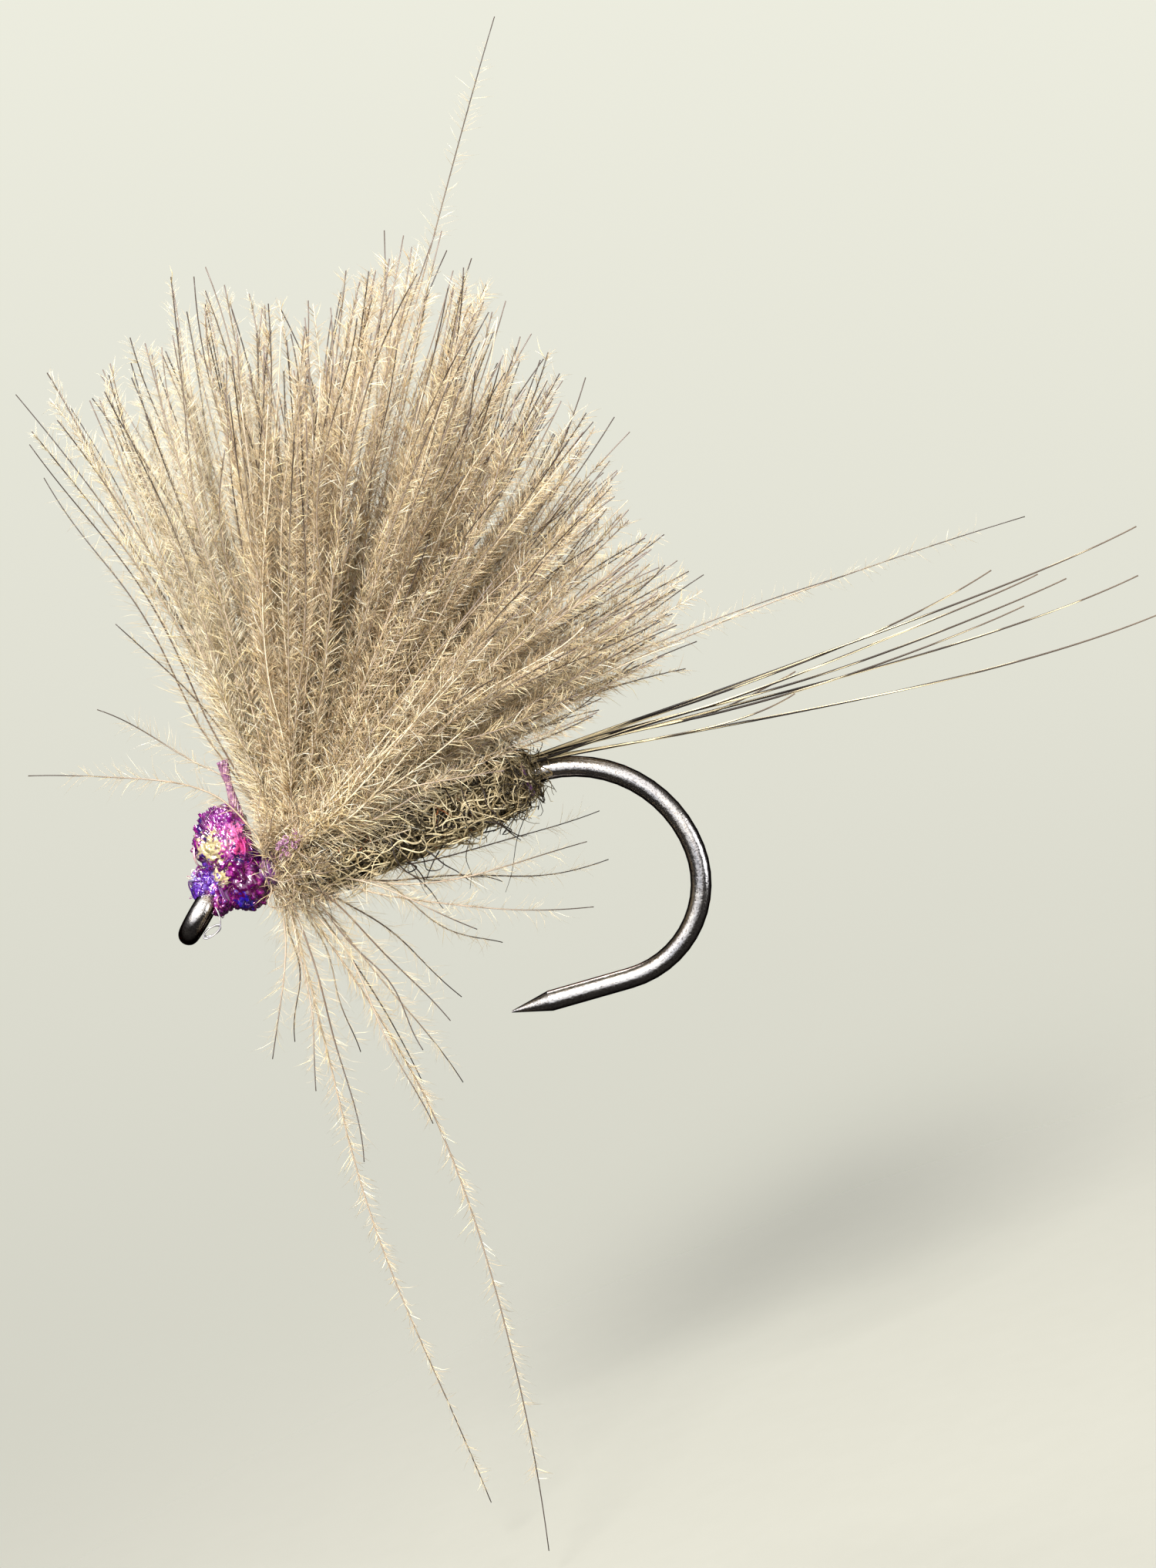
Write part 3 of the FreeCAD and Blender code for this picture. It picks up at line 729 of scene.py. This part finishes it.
def wad_material():
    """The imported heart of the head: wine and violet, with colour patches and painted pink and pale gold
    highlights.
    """
    sh = Shader("tinsel_wad")
    noise = sh.object_noise(3200.0, 3.0)
    colour = sh.ramp(noise, [
        (0.34, (0.018, 0.002, 0.13)),
        (0.43, (0.050, 0.001, 0.065)),
        (0.50, (0.12, 0.002, 0.115)),
        (0.58, (0.27, 0.006, 0.22)),
        (0.72, (0.66, 0.20, 0.34)),
    ])
    # colour patches and painted pink and pale gold highlights
    colour = sh.hues_and_highlights(colour, sh.object_noise(9000.0, 2.0), 4.0)
    fine = sh.object_noise(14000.0, 2.0)
    colour = sh.shaded(colour, fine, 0.35, (0.55, 0.55, 0.55), 0.65, (1.2, 1.2, 1.2))
    film = dict(Coat_Weight=1.0, Coat_Roughness=0.03, Normal=sh.bump(fine, 0.4, 0.02))
    return sh.finish(sh.principled(colour, 0.16, Metallic=0.3, **film))


def tag_material():
    """Dusty violet film, matt where it was twisted."""
    sh = StrandShader("dusty_violet_film", 80.0, 14.0)
    stops = [(0.32, (0.13, 0.04, 0.13)), (0.5, (0.33, 0.14, 0.27)), (0.68, (0.62, 0.40, 0.50))]
    return sh.finish(sh.glowing(sh.ramp(sh.noise, stops), 0.36, 0.3, Coat_Weight=0.4, Coat_Roughness=0.2))


def pearl_material():
    """Clear pearl film, bright where its gloss catches the light, with painted shade darkening it at its
    edges.
    """
    sh = Shader("clear_pearl")
    noise = sh.object_noise(6000.0)
    bright = sh.ramp(noise, [(0.35, (0.30, 0.28, 0.34)), (0.65, (0.62, 0.60, 0.58))])
    # painted shade darkens the film towards its edges
    colour = sh.mix(1.0, bright, sh.rim(0.15, 0.40, (0.05, 0.04, 0.06)), "MULTIPLY")
    return sh.finish(sh.principled(colour, 0.08, Metallic=0.2, Coat_Weight=1.0))


def thread_material():
    """Purple tying thread: round filaments laid close, waxed."""
    sh = Shader("purple_thread")
    inputs = {"Vector": sh.place(), "Scale": 9000.0, "Distortion": 1.5, "Detail": 2.0}
    lines = sh.add("TexWave", inputs, 1, wave_type="BANDS")
    colour = sh.ramp(lines, [(0.2, (0.045, 0.006, 0.06)), (0.8, (0.16, 0.025, 0.17))])
    return sh.finish(sh.principled(colour, 0.38, Normal=sh.bump(lines, 0.5, 0.01), Sheen_Weight=0.3))


def wire_material():
    """Black nickel plate with an orange-peel skin and fine pits, and painted shade darkening it at its edges.
    """
    sh = Shader("black_nickel_wire")
    peel = sh.object_noise(9500.0, 3.0, 0.55)
    pits = sh.object_noise(30000.0, 2.0, 0.7)
    patch = sh.object_noise(1400.0, 2.0)
    height = sh.maths("ADD", sh.maths("MULTIPLY", peel, 0.8), sh.maths("MULTIPLY", pits, 0.35))
    colour = sh.ramp(patch, [(0.35, (0.44, 0.42, 0.42)), (0.65, (0.62, 0.58, 0.54))])
    colour = sh.shaded(colour, pits, 0.36, (0.45, 0.42, 0.40), 0.48, ALL)
    # painted shade: the wire's colour and reflections darken towards its edges
    edge = sh.rim(0.28, 0.55, (0.16, 0.13, 0.12))
    colour = sh.mix(1.0, colour, edge, "MULTIPLY")
    others = dict(Metallic=1.0, Specular_Tint=edge, Normal=sh.bump(height, 0.6, 0.014))
    return sh.finish(sh.principled(colour, sh.spread(0.10, pits, 0.22), **others))


# ---- Build ----
# each look is a material and the slot it fills
DOWN = down_material(), "feather_barb"
SHAFT = shaft_material(), "feather_barb"
TAIL_FIBRE = tail_material(), "barred_fibre"
FUR = fur_material(), "body_fur"
GUARD_HAIR = FUR[0], "guard_hair"
CORE = core_material(), "body_fur"
TINSEL = tinsel_material(), "tinsel"
WAD = wad_material(), "tinsel"
TAG = tag_material(), "tinsel"


def wing_bunch(name, seed, count, sweep_range, side_max, short, groups, paleness):
    """One bunch of the wing: its shafts, and its down in several pieces."""
    rng = np.random.default_rng(seed)
    paths = wing_paths(rng, count, sweep_range, side_max, short)
    tones = rng.uniform(0.0, 0.87, count)
    # half of the barbs have lost the barbules near their tips
    bare = np.where(rng.random(count) < 0.5, rng.uniform(0.05, 0.20, count), 0.01)
    direction = unit(fan(sum(sweep_range) / 2, 0.0, 1.0) - WING)
    shafts = shaft_tubes(paths, tones)
    bending(name + "_shafts", shafts, SHAFT, name, direction, name + "_barbs")
    for i in range(groups):
        some = slice(i, None, groups)
        fringe = down_tubes(paths[some], tones[some], rng, bare=bare[some], paleness=paleness)
        bending(f"{name}_down_{i + 1}", fringe, DOWN, name, direction)


def flank():
    """The rear bunch's barbs beside the body."""
    seed, count, sweep, shades = FLANK_BARBS
    rng = np.random.default_rng(seed)
    paths = flank_paths(rng, count)
    tones = rng.uniform(*shades, count)
    direction = unit(fan(sweep, 0.0, 1.0) - WING)
    shafts = shaft_tubes(paths, tones, 0.022, 0.012)
    bending("wing_flank_shafts", shafts, SHAFT, "wing_rear", direction)
    down = down_tubes(paths, tones, rng, 24.0, 0.95, lean=34.0, paleness=0.34, painted_glint_share=0.40)
    bending("wing_flank_down", down, DOWN, "wing_rear", direction)


def wing():
    """The three bunches of the wing."""
    for name, settings in WING_BUNCHES.items():
        wing_bunch(name, *settings)
    flank()


def single_barbs(name, body, node, seed, shapes, upright, per_mm=30.0, length=0.80, radius=0.0042, dark=0.70):
    """Loose barbs; each shape is sweep, side, reach and bow. upright is 1 above the hook and -1 below it."""
    rng = np.random.default_rng(seed)
    sweep, side, reach, bow = np.array(shapes, float).T
    if upright > 0:
        root = wing_roots(sweep, side)
    else:
        root = loop_points(0.95 * np.sin(np.radians(sweep - 20)), 180 - 2.2 * side)
    middle = fan(sweep + bow, side * 0.9, reach * 0.5, upright)
    tip = fan(sweep, side, reach, upright)
    paths = waver(bezier([root, middle, tip], 40), rng, 0.09, 1.3)
    tones = rng.uniform(dark, 1.0, len(shapes))
    bare = rng.uniform(0.02, 0.12, len(shapes))
    down = down_tubes(paths, tones, rng, per_mm, length, radius, bare=bare, lean=44.0, paleness=0.25)
    direction = unit(np.mean(tip - WING, axis=0))
    shafts = shaft_tubes(paths, tones, 0.023, 0.011)
    bending(name, shafts, SHAFT, body, direction, node)
    bending(name + "_down", down, DOWN, body, direction)


def strays():
    """The barbs that stand away from the wing."""
    for name, body, node, seed, shapes, per_mm, length in STRAYS:
        single_barbs(name, body, node, seed, shapes, 1.0, per_mm, length)


def legs():
    """The barbs below the hook, on both sides."""
    fluffy = dict(per_mm=34.0, length=0.6, radius=0.0060, dark=0.3)
    for side_name, hand, seed in (("left", -1, 31), ("right", 1, 32)):
        body = "hackle_" + side_name
        shapes = []
        for i, (sweep, reach) in enumerate(LEG_BARBS):
            side = 13 + 24 * ((i * GOLDEN_SHARE) % 1)
            shapes.append((sweep + 2 * hand, hand * side, reach, 6))
        single_barbs(body + "_leg_barbs", body, body + "_legs", seed, shapes, -1.0)
        belly = [(sweep + hand, side * hand, reach, bow) for sweep, side, reach, bow in BELLY_BARBS]
        node = f"belly_{side_name}_barbs"
        single_barbs(f"belly_{side_name}_loose_barbs", body, node, seed + 10, belly, -1.0)
        trailing = [TRAILING_BARBS[side_name]]
        single_barbs(body + "_trailing_barb", body, body + "_streamer", seed + 20, trailing, -1.0, **fluffy)


def tail():
    """Barred fibres from the lashing back past the bend."""
    rng = np.random.default_rng(41)
    tips = np.array(TAIL_TIPS)
    count = len(tips)
    around = np.radians(12.0 * (np.arange(count) - count // 2))
    ring = np.stack([0 * around, np.sin(around), np.cos(around)], axis=1)
    root = np.array([TAIL[0], 0, SHANK_Z]) + TAIL_ROOT_R * ring
    near = root + tips * (0.35, 0.3, 0.45) - (0, 0, 0.05)
    far = root + tips * (0.75, 0.7, 0.85) - (0, 0, 0.45)
    paths = waver(bezier([root, near, far, root + tips], 60), rng, 0.04, 1.2)
    tones = (np.arange(count) + 0.5) / count
    fibres = shaft_tubes(paths, tones, 0.033, 0.015, sides=7)
    back = np.array([1.0, 0.0, 0.0])
    bending("tail_barred_fibres", fibres, TAIL_FIBRE, "tail", back, "tail_fibres", hinge=TAIL)


def body_radius(x):
    """The fur body's radius at x."""
    share = np.clip((x - BODY_LOW[0]) / (BODY_HIGH[0] - BODY_LOW[0]), 0, FUR_CLOSES)
    front = (BODY_HIGH[2] - BODY_LOW[2]) / 2
    slope = 1.0 - 0.10 * share - 0.24 * share ** 5
    closing = np.clip((FUR_CLOSES - share) / 0.16, 0, 1) ** 0.6
    places = (LASHING_LOW[0], LASHING_HIGH[0] - 0.10, LASHING_HIGH[0] + 0.08, LASHING_HIGH[0] + 0.25)
    rear = np.interp(x, places, (0.55, 0.45, 0.33, 0.22))
    return np.maximum(front * slope * closing, rear)


def fur_hairs(
    rng, count, length, lift, curvature, radius, shades, x_range=BODY_SPAN, around=None, rarity=3.0, past=0.2
):
    """Hairs that lie curled on the body, some with their free ends lifting off.

    curvature is the spread of how fast each one turns in the surface, in radians per millimetre. The greater
    rarity, the fewer lift far. They start within x_range, all round the body or about one angle only, and
    past is how far behind the lashing they may reach.
    """
    stations = 15
    tones = rng.uniform(*shades, count)
    x0 = rng.uniform(*x_range, (count, 1))
    if around is None:
        around0 = rng.uniform(0, 2 * math.pi, (count, 1))
    else:
        around0 = rng.normal(around, 0.5, (count, 1))
    size = length * rng.uniform(0.5, 1.4, (count, 1))
    t = np.linspace(0, 1, stations)[None, :]
    heading = rng.uniform(0, 2 * math.pi, (count, 1)) + rng.normal(0, curvature, (count, 1)) * size * t
    curl = rng.uniform(0, 0.9, (count, 1))
    heading = heading + curl * np.sin(9 * t + rng.uniform(0, ANY_PHASE, (count, 1)))
    step = size / (stations - 1)
    x = x0 + np.cumsum(np.cos(heading) * step, axis=1)
    x = np.maximum(x, LOOP_HIGH[0] - 0.1)
    last_x = LASHING_HIGH[0] + rng.uniform(-0.2, past, (count, 1))
    x = last_x - np.abs(last_x - x)  # those that reach the end turn back
    r0 = body_radius(x)
    turned = around0 + np.cumsum(np.sin(heading) * step, axis=1) / r0
    rise = lift * rng.random((count, 1)) ** rarity
    out = r0 * rng.uniform(0.90, 1.03, (count, 1)) + rise * t ** 1.4
    out = out + 0.05 * np.sin(7 * t + rng.uniform(0, ANY_PHASE, (count, 1)))
    paths = np.stack([x, out * np.sin(turned), SHANK_Z + out * np.cos(turned)], axis=-1)
    radii = radius * rng.uniform(0.6, 1.35, (count, 1)) * (1 - 0.55 * t ** 2)
    return tubes(paths, radii, tones, sides=4)


def grid_part(points):
    """A closed surface from rings of points, capped at both ends; points holds (ring, side, xyz)."""
    rings, sides, _ = points.shape
    quads, ring, side = ring_quads(rings, sides)
    caps = np.stack([np.arange(sides)[::-1], (rings - 1) * sides + np.arange(sides)])
    turn = np.arange(sides) * 2 * math.pi / sides
    cap_uv = np.tile(np.stack([0.5 + 0.01 * np.cos(turn), 0.5 + 0.01 * np.sin(turn)], axis=1), (2, 1))
    corners = np.concatenate([quads.ravel(), caps.ravel()])
    sizes = np.concatenate([np.full(len(quads), 4), [sides, sides]])
    quad_uv = np.stack([side.ravel() / sides, ring.ravel() / (rings - 1)], axis=1)
    uv = np.concatenate([quad_uv, cap_uv])
    return points.reshape(-1, 3), corners, sizes, uv


def body_core():
    """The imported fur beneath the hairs: a spindle with slanting ridges where the rope was wound."""
    rings, sides = 100, 56
    x = np.linspace(LOOP_HIGH[0] - 0.05, LASHING_HIGH[0] - 0.10, rings)
    around = np.arange(sides) * 2 * math.pi / sides
    grid_x, grid_a = np.meshgrid(x, around, indexing="ij")
    ridge = 0.06 * np.cos(2 * math.pi * grid_x / 0.5 - grid_a)
    lump = 0.04 * np.sin(5 * grid_x + 2 * grid_a) + 0.03 * np.sin(11 * grid_x - 5 * grid_a + 1)
    radius = np.maximum(body_radius(grid_x) * (0.84 + ridge + lump), CORE_END_R)
    radius[0] = radius[-1] = CORE_END_R
    points = np.stack([grid_x, radius * np.sin(grid_a), SHANK_Z + radius * np.cos(grid_a)], axis=-1)
    surface = grid_part(points[:, ::-1])
    fixed("fur_body_core", surface, CORE, "abdomen_dubbing", "thorax_dubbing")


def fur_layers(rng, layers):
    """Several layers of hair as one set."""
    return joined([fur_hairs(rng, *layer, **others) for *layer, others in layers])


def body_fur():
    """All the hairs of the abdomen and thorax."""
    rng = np.random.default_rng(51)
    fixed("fur_body_hairs", fur_layers(rng, FUR_LAYERS), FUR)
    fixed("fur_guard_hairs", fur_layers(rng, GUARD_LAYERS), GUARD_HAIR, "abdomen_guard_hairs")


def thorax_collar():
    """Short barbs all round the loop that hide where the wing and legs leave it."""
    rng = np.random.default_rng(61)
    count = 230
    around = rng.uniform(0, 360, count)
    along = rng.uniform(-1, 1, count)
    root = loop_points(along, around)
    middle_of_loop = WING + np.stack([LOOP_HALF * 0.9 * along, 0 * along, 0 * along], axis=-1)
    out = unit(root - middle_of_loop)
    backwards = rng.uniform(0.1, 1.9, count)
    lean = np.stack([backwards, rng.normal(0, 0.15, count), rng.normal(0, 0.15, count)], axis=-1)
    heading = unit(out + lean)
    shorter_below = 0.68 + 0.32 * np.cos(np.radians(around))
    size = (rng.uniform(0.7, 2.6, count) * shorter_below)[:, None]
    middle = root + out * size * 0.35 + heading * size * 0.2
    tip = root + heading * size + out * 0.15
    paths = waver(bezier([root, middle, tip], 14), rng, 0.05, 1.0)
    tones = rng.random(count) * 0.8
    shafts = shaft_tubes(paths, tones, 0.018, 0.007, sides=4)
    down = down_tubes(paths, tones, rng, per_mm=24.0, length=0.5, radius=0.0080)
    fixed("thorax_collar_shafts", shafts, SHAFT)
    fixed("thorax_collar_down", down, DOWN)


def lumped(centre, lumps, radii):
    """The surface seen from centre of several ellipsoids joined with soft grooves between them."""
    rings, sides = 150, 200
    pole = 0.03  # radians left open at each end, which the caps close
    down = np.linspace(pole, math.pi - pole, rings)
    around = np.arange(sides) * 2 * math.pi / sides
    grid_d, grid_a = np.meshgrid(down, around, indexing="ij")
    level = np.sin(grid_d)
    ways = np.stack([level * np.cos(grid_a), level * np.sin(grid_a), np.cos(grid_d)], axis=-1)
    total = np.zeros((rings, sides))
    for lump, radius in zip(lumps, radii):
        way = ways / radius
        start = (centre - lump) / radius
        a = np.sum(way * way, axis=-1)
        b = way @ start
        inside = b * b - a * (start @ start - 1)
        reach = np.where(inside > 0, (-b + np.sqrt(np.maximum(inside, 0))) / a, 0)
        total += reach ** GROOVE_SHARPNESS
    return centre + ways * (total ** (1 / GROOVE_SHARPNESS))[..., None]


def wad(name, node, seed, body_lumps, bead_count, bead_size):
    """A packed wad of tinsel: large lumps, with the bulges of looped strands all over them."""
    rng = np.random.default_rng(seed)
    places = [np.array([centre for centre, _ in body_lumps])]
    radii = [np.array([radius for _, radius in body_lumps])]
    for centre, radius in body_lumps:
        out = unit(rng.normal(0, 1, (bead_count, 3)))
        places.append(centre + out * radius * rng.uniform(0.86, 1.0, (bead_count, 1)))
        radii.append(rng.uniform(0.6, 1.3, (bead_count, 3)) * bead_size)
    middle = np.mean(places[0], axis=0)
    points = lumped(middle, np.concatenate(places), np.concatenate(radii))
    fixed(name, grid_part(points), WAD, node)


def tinsel_curls(rng, centre, radii, count, turn, width):
    """Flat tinsel strands that lie round a wad and loop off it, each through about turn radians."""
    stations = 30
    t = np.linspace(0, 1, stations)[None, :]
    axis = unit(rng.normal(0, 1, (count, 3)) * (1.0, 1.3, 1.0))
    start = unit(np.cross(axis, rng.normal(0, 1, (count, 3))))
    other = np.cross(axis, start)
    sweep = turn * rng.uniform(0.5, 1.5, (count, 1)) * t
    ring = start[:, None] * np.cos(sweep)[..., None] + other[:, None] * np.sin(sweep)[..., None]
    tilt = rng.uniform(-0.8, 0.8, (count, 1)) + 0.25 * np.sin(3 * sweep)
    ring = unit(ring + axis[:, None] * tilt[..., None])
    loose = 0.25 * rng.random((count, 1)) ** 3
    lift = 0.98 + rng.uniform(0, 0.10, (count, 1)) + loose * np.sin(math.pi * t)
    paths = centre + ring * radii * lift[..., None]
    strand_r = width * rng.uniform(0.6, 1.4, (count, 1))
    spin = rng.uniform(0, ANY_PHASE, (count, 1)) + rng.normal(0, 1.5, (count, 1)) * t
    return tubes(paths, strand_r, rng.random(count), sides=8, flat=0.45, spin=spin)


def tinsel_loops(rng, centre, radii, count, size, width):
    """Small closed loops that stand off a wad's skin."""
    stations = 22
    turn = np.linspace(0, 1.9 * math.pi, stations)[None, :]
    out = unit(rng.normal(0, 1, (count, 3)))
    side = unit(np.cross(out, rng.normal(0, 1, (count, 3))))
    base = centre + out * radii * 0.95
    loop_r = size * rng.uniform(0.6, 1.4, (count, 1))
    along = (loop_r * (1 - np.cos(turn)))[..., None]
    across = (0.7 * loop_r * np.sin(turn))[..., None]
    paths = base[:, None] + out[:, None] * along + side[:, None] * across
    strand_r = width * rng.uniform(0.7, 1.3, (count, 1))
    return tubes(paths, strand_r, rng.random(count), sides=8, flat=0.5)


def head():
    """The two tinsel wads and their strands."""
    wad("head_rear_wad", "rear_head_dubbing", 71, REAR_LUMPS, 150, 0.066)
    wad("head_front_wad", "front_head_dubbing", 72, FRONT_LUMPS, 110, 0.052)
    rng = np.random.default_rng(73)
    parts = []
    for (centre, radius), count in zip(REAR_LUMPS + FRONT_LUMPS, LUMP_STRANDS):
        parts.append(tinsel_curls(rng, centre, radius, count, 1.2, 0.020))
        parts.append(tinsel_loops(rng, centre, radius, count, 0.055, 0.012))
    fixed("head_tinsel_strands", joined(parts), TINSEL)
    bunch = (0.13, 0.10, 0.11)
    parts = [tinsel_loops(rng, centre, bunch, 16, 0.045, 0.014) for centre in CAUGHT_TINSEL]
    fixed("wing_tinsel_loops", joined(parts), TAG)


def tag():
    """The twisted end of the tinsel, standing up behind the head and flared where it was cut."""
    rng = np.random.default_rng(75)
    strands, stations = 9, 24
    t = np.linspace(0, 1, stations)[None, :]
    foot = np.array([TAG_HIGH[0] - 0.16, 0.0, TAG_LOW[2] - 0.25])  # down inside the wad
    head_end = np.array([TAG_HIGH[0] - 0.03, 0.0, TAG_HIGH[2]])
    line = foot + (head_end - foot) * t[..., None]
    phase = np.arange(strands)[:, None] * 2 * math.pi / strands
    turn = phase + 5.5 * t
    spread = 0.045 + 0.06 * np.abs(t - 0.55) ** 1.5 * 3 + 0.010 * rng.normal(0, 1, (strands, 1)) * t
    across = np.stack([np.cos(turn), np.sin(turn), np.zeros_like(turn)], axis=-1)
    paths = line + across * spread[..., None]
    radii = np.full((1, 1), 0.030)
    tones = rng.uniform(0.35, 0.85, strands)
    fixed("head_twisted_tag", tubes(paths, radii, tones, sides=8, flat=0.6), TAG, "thread_tag")


def dress_cad_nodes():
    """Materials for the CAD nodes that stay."""
    thread = thread_material()
    dress = {
        "thread_base": thread,
        "tail_lashing": thread,
        "whip_finish": thread,
        "hackle_loop_thread": thread,
        "wing_tinsel": TINSEL[0],
        "tinsel_loops": pearl_material(),
        "tail_butts": TAIL_FIBRE[0],
        "hook": wire_material(),
    }
    for name, material in dress.items():
        materials = frame["nodes"][name].data.materials
        materials.clear()
        materials.append(material)


# ---- Stage ----
ROLL = math.radians(21)  # the shank rises this much to the right in the picture
YAW = math.radians(5)  # the camera stands this much towards the eye
PITCH = math.radians(8)  # and looks down this much
AIM = Vector((8.5, 0, -0.17)) * MM  # what the camera and the lights point at
DISTANCE = 90.7 * MM
PALE_TOP = (0.84, 0.84, 0.735)  # the backdrop at the top of the picture
PALE_FOOT = (0.635, 0.63, 0.55)  # and at its foot
FLOOR_GAP = 0.6 * MM  # from the fly's lowest point down to the floor
FLOOR_R = 300 * MM
FLOOR_FADE = 30 * MM  # how far out the floor is half way to fading


def camera():
    """A long lens at the picture's viewing angle."""
    right = Vector((math.cos(ROLL), 0, -math.sin(ROLL)))
    up = Vector((math.sin(ROLL), 0, math.cos(ROLL)))
    forward = Vector((0, 1, 0))
    turn = Matrix.Rotation(YAW, 3, up) @ Matrix.Rotation(-PITCH, 3, right)
    right, up, forward = turn @ right, turn @ up, turn @ forward
    data = bpy.data.cameras.new("camera")
    data.lens = 100
    data.sensor_width = 36
    data.clip_start = 0.001
    data.clip_end = 10
    obj = placed("camera", data)
    basis = Matrix((right, up, -forward)).transposed()
    obj.matrix_world = Matrix.Translation(AIM - forward * DISTANCE) @ basis.to_4x4()
    bpy.context.scene.camera = obj
    return right, up, forward


def area_light(name, place, size, power, colour):
    """A round soft light at place, in millimetres from the aim, facing the fly."""
    data = bpy.data.lights.new(name, "AREA")
    data.shape = "DISK"
    data.size = size * MM
    data.energy = power
    data.color = colour
    obj = placed(name, data)
    obj.location = AIM + place * MM
    obj.rotation_euler = (-place).to_track_quat("-Z", "Y").to_euler()
    obj.visible_camera = False


def world(panel):
    """A pale backdrop for the camera, bright paper for soft light, and a darker room for reflections.

    panel is the direction of the room's bright ceiling panel.
    """
    sh = Shader("studio", "World")
    bpy.context.scene.world = sh.owner
    window, way = sh.add("TexCoord", output="Window"), sh.add("TexCoord", output="Generated")

    def backing(vector, axis, low, high, strength):
        """A background whose colour runs from low to high along one axis of vector."""
        colour = sh.ramp(sh.add("SeparateXYZ", {0: vector}, axis), [(0.0, low), (1.0, high)])
        return sh.add("Background", {0: colour, 1: strength})

    seen = backing(window, 1, PALE_FOOT, PALE_TOP, 1.0)
    paper = backing(way, 1, (0.66, 0.66, 0.63), (1.0, 1.0, 0.96), 0.95)
    dark_room = backing(way, 2, (0.030, 0.027, 0.025), (0.16, 0.16, 0.17), 1.0)

    # reflections see a broad bright ceiling panel, patchy like a lit room
    facing = sh.add("VectorMath", {0: way, 1: tuple(panel)}, "Value", operation="DOT_PRODUCT")
    edge = sh.ramp(facing, [(0.56, NONE), (0.66, ALL)])
    patches = sh.add("TexNoise", {"Vector": way, "Scale": 2.6})
    tint = sh.ramp(patches, [(0.38, (0.42, 0.46, 0.52)), (0.55, (1.0, 0.99, 0.97))])
    bright = sh.add("Background", {0: tint, 1: 2.4})
    room = sh.blended(edge, dark_room, bright)
    lit = sh.blended(sh.add("LightPath", output="Is Glossy Ray"), paper, room)
    sh.finish(sh.blended(sh.add("LightPath", output="Is Camera Ray"), lit, seen))


def floor():
    """A pale disc under the fly that fades out before its edge, so that no horizon shows."""
    sh = Shader("pale_floor")
    distance = sh.add("VectorMath", {0: sh.place()}, "Value", operation="LENGTH")
    farness = sh.maths("DIVIDE", distance, sh.maths("ADD", distance, FLOOR_FADE))
    fade = sh.ramp(farness, [(0.15, NONE), (0.80, ALL)], "EASE")
    paper = sh.object_noise(900.0, 4.0)
    colour = sh.ramp(paper, [(0.3, (0.245, 0.243, 0.215)), (0.7, (0.25, 0.248, 0.22))])
    clear = sh.add("BsdfTransparent")
    material = sh.finish(sh.blended(fade, sh.principled(colour, 0.9), clear))
    place = (AIM.x, 0, cad_bounds[0][2] - FLOOR_GAP)
    bpy.ops.mesh.primitive_circle_add(vertices=96, radius=FLOOR_R, fill_type="NGON", location=place)
    obj = bpy.context.object
    obj.name = "pale_floor"
    obj.data.materials.append(material)
    obj.visible_glossy = False


def stage():
    """Camera, lights, backdrop and floor."""
    right, up, forward = camera()
    area_light("key", -forward * 150 + up * 85 - right * 65, 60, 0.96, (1.0, 0.98, 0.93))
    area_light("fill", -forward * 60 + right * 150 + up * 20, 90, 0.14, (0.96, 0.98, 1.0))
    area_light("rim", forward * 90 + up * 140 - right * 30, 90, 0.24, (1.0, 0.99, 0.96))
    world((up * 0.50 - forward * 0.84 - right * 0.20).normalized())
    floor()
    scene = bpy.context.scene
    scene.view_settings.view_transform = "Standard"
    scene.cycles.diffuse_bounces = 6
    scene.cycles.transmission_bounces = 8
    scene.cycles.max_bounces = 12


wing()
strays()
legs()
tail()
body_core()
body_fur()
thorax_collar()
head()
tag()
dress_cad_nodes()
stage()
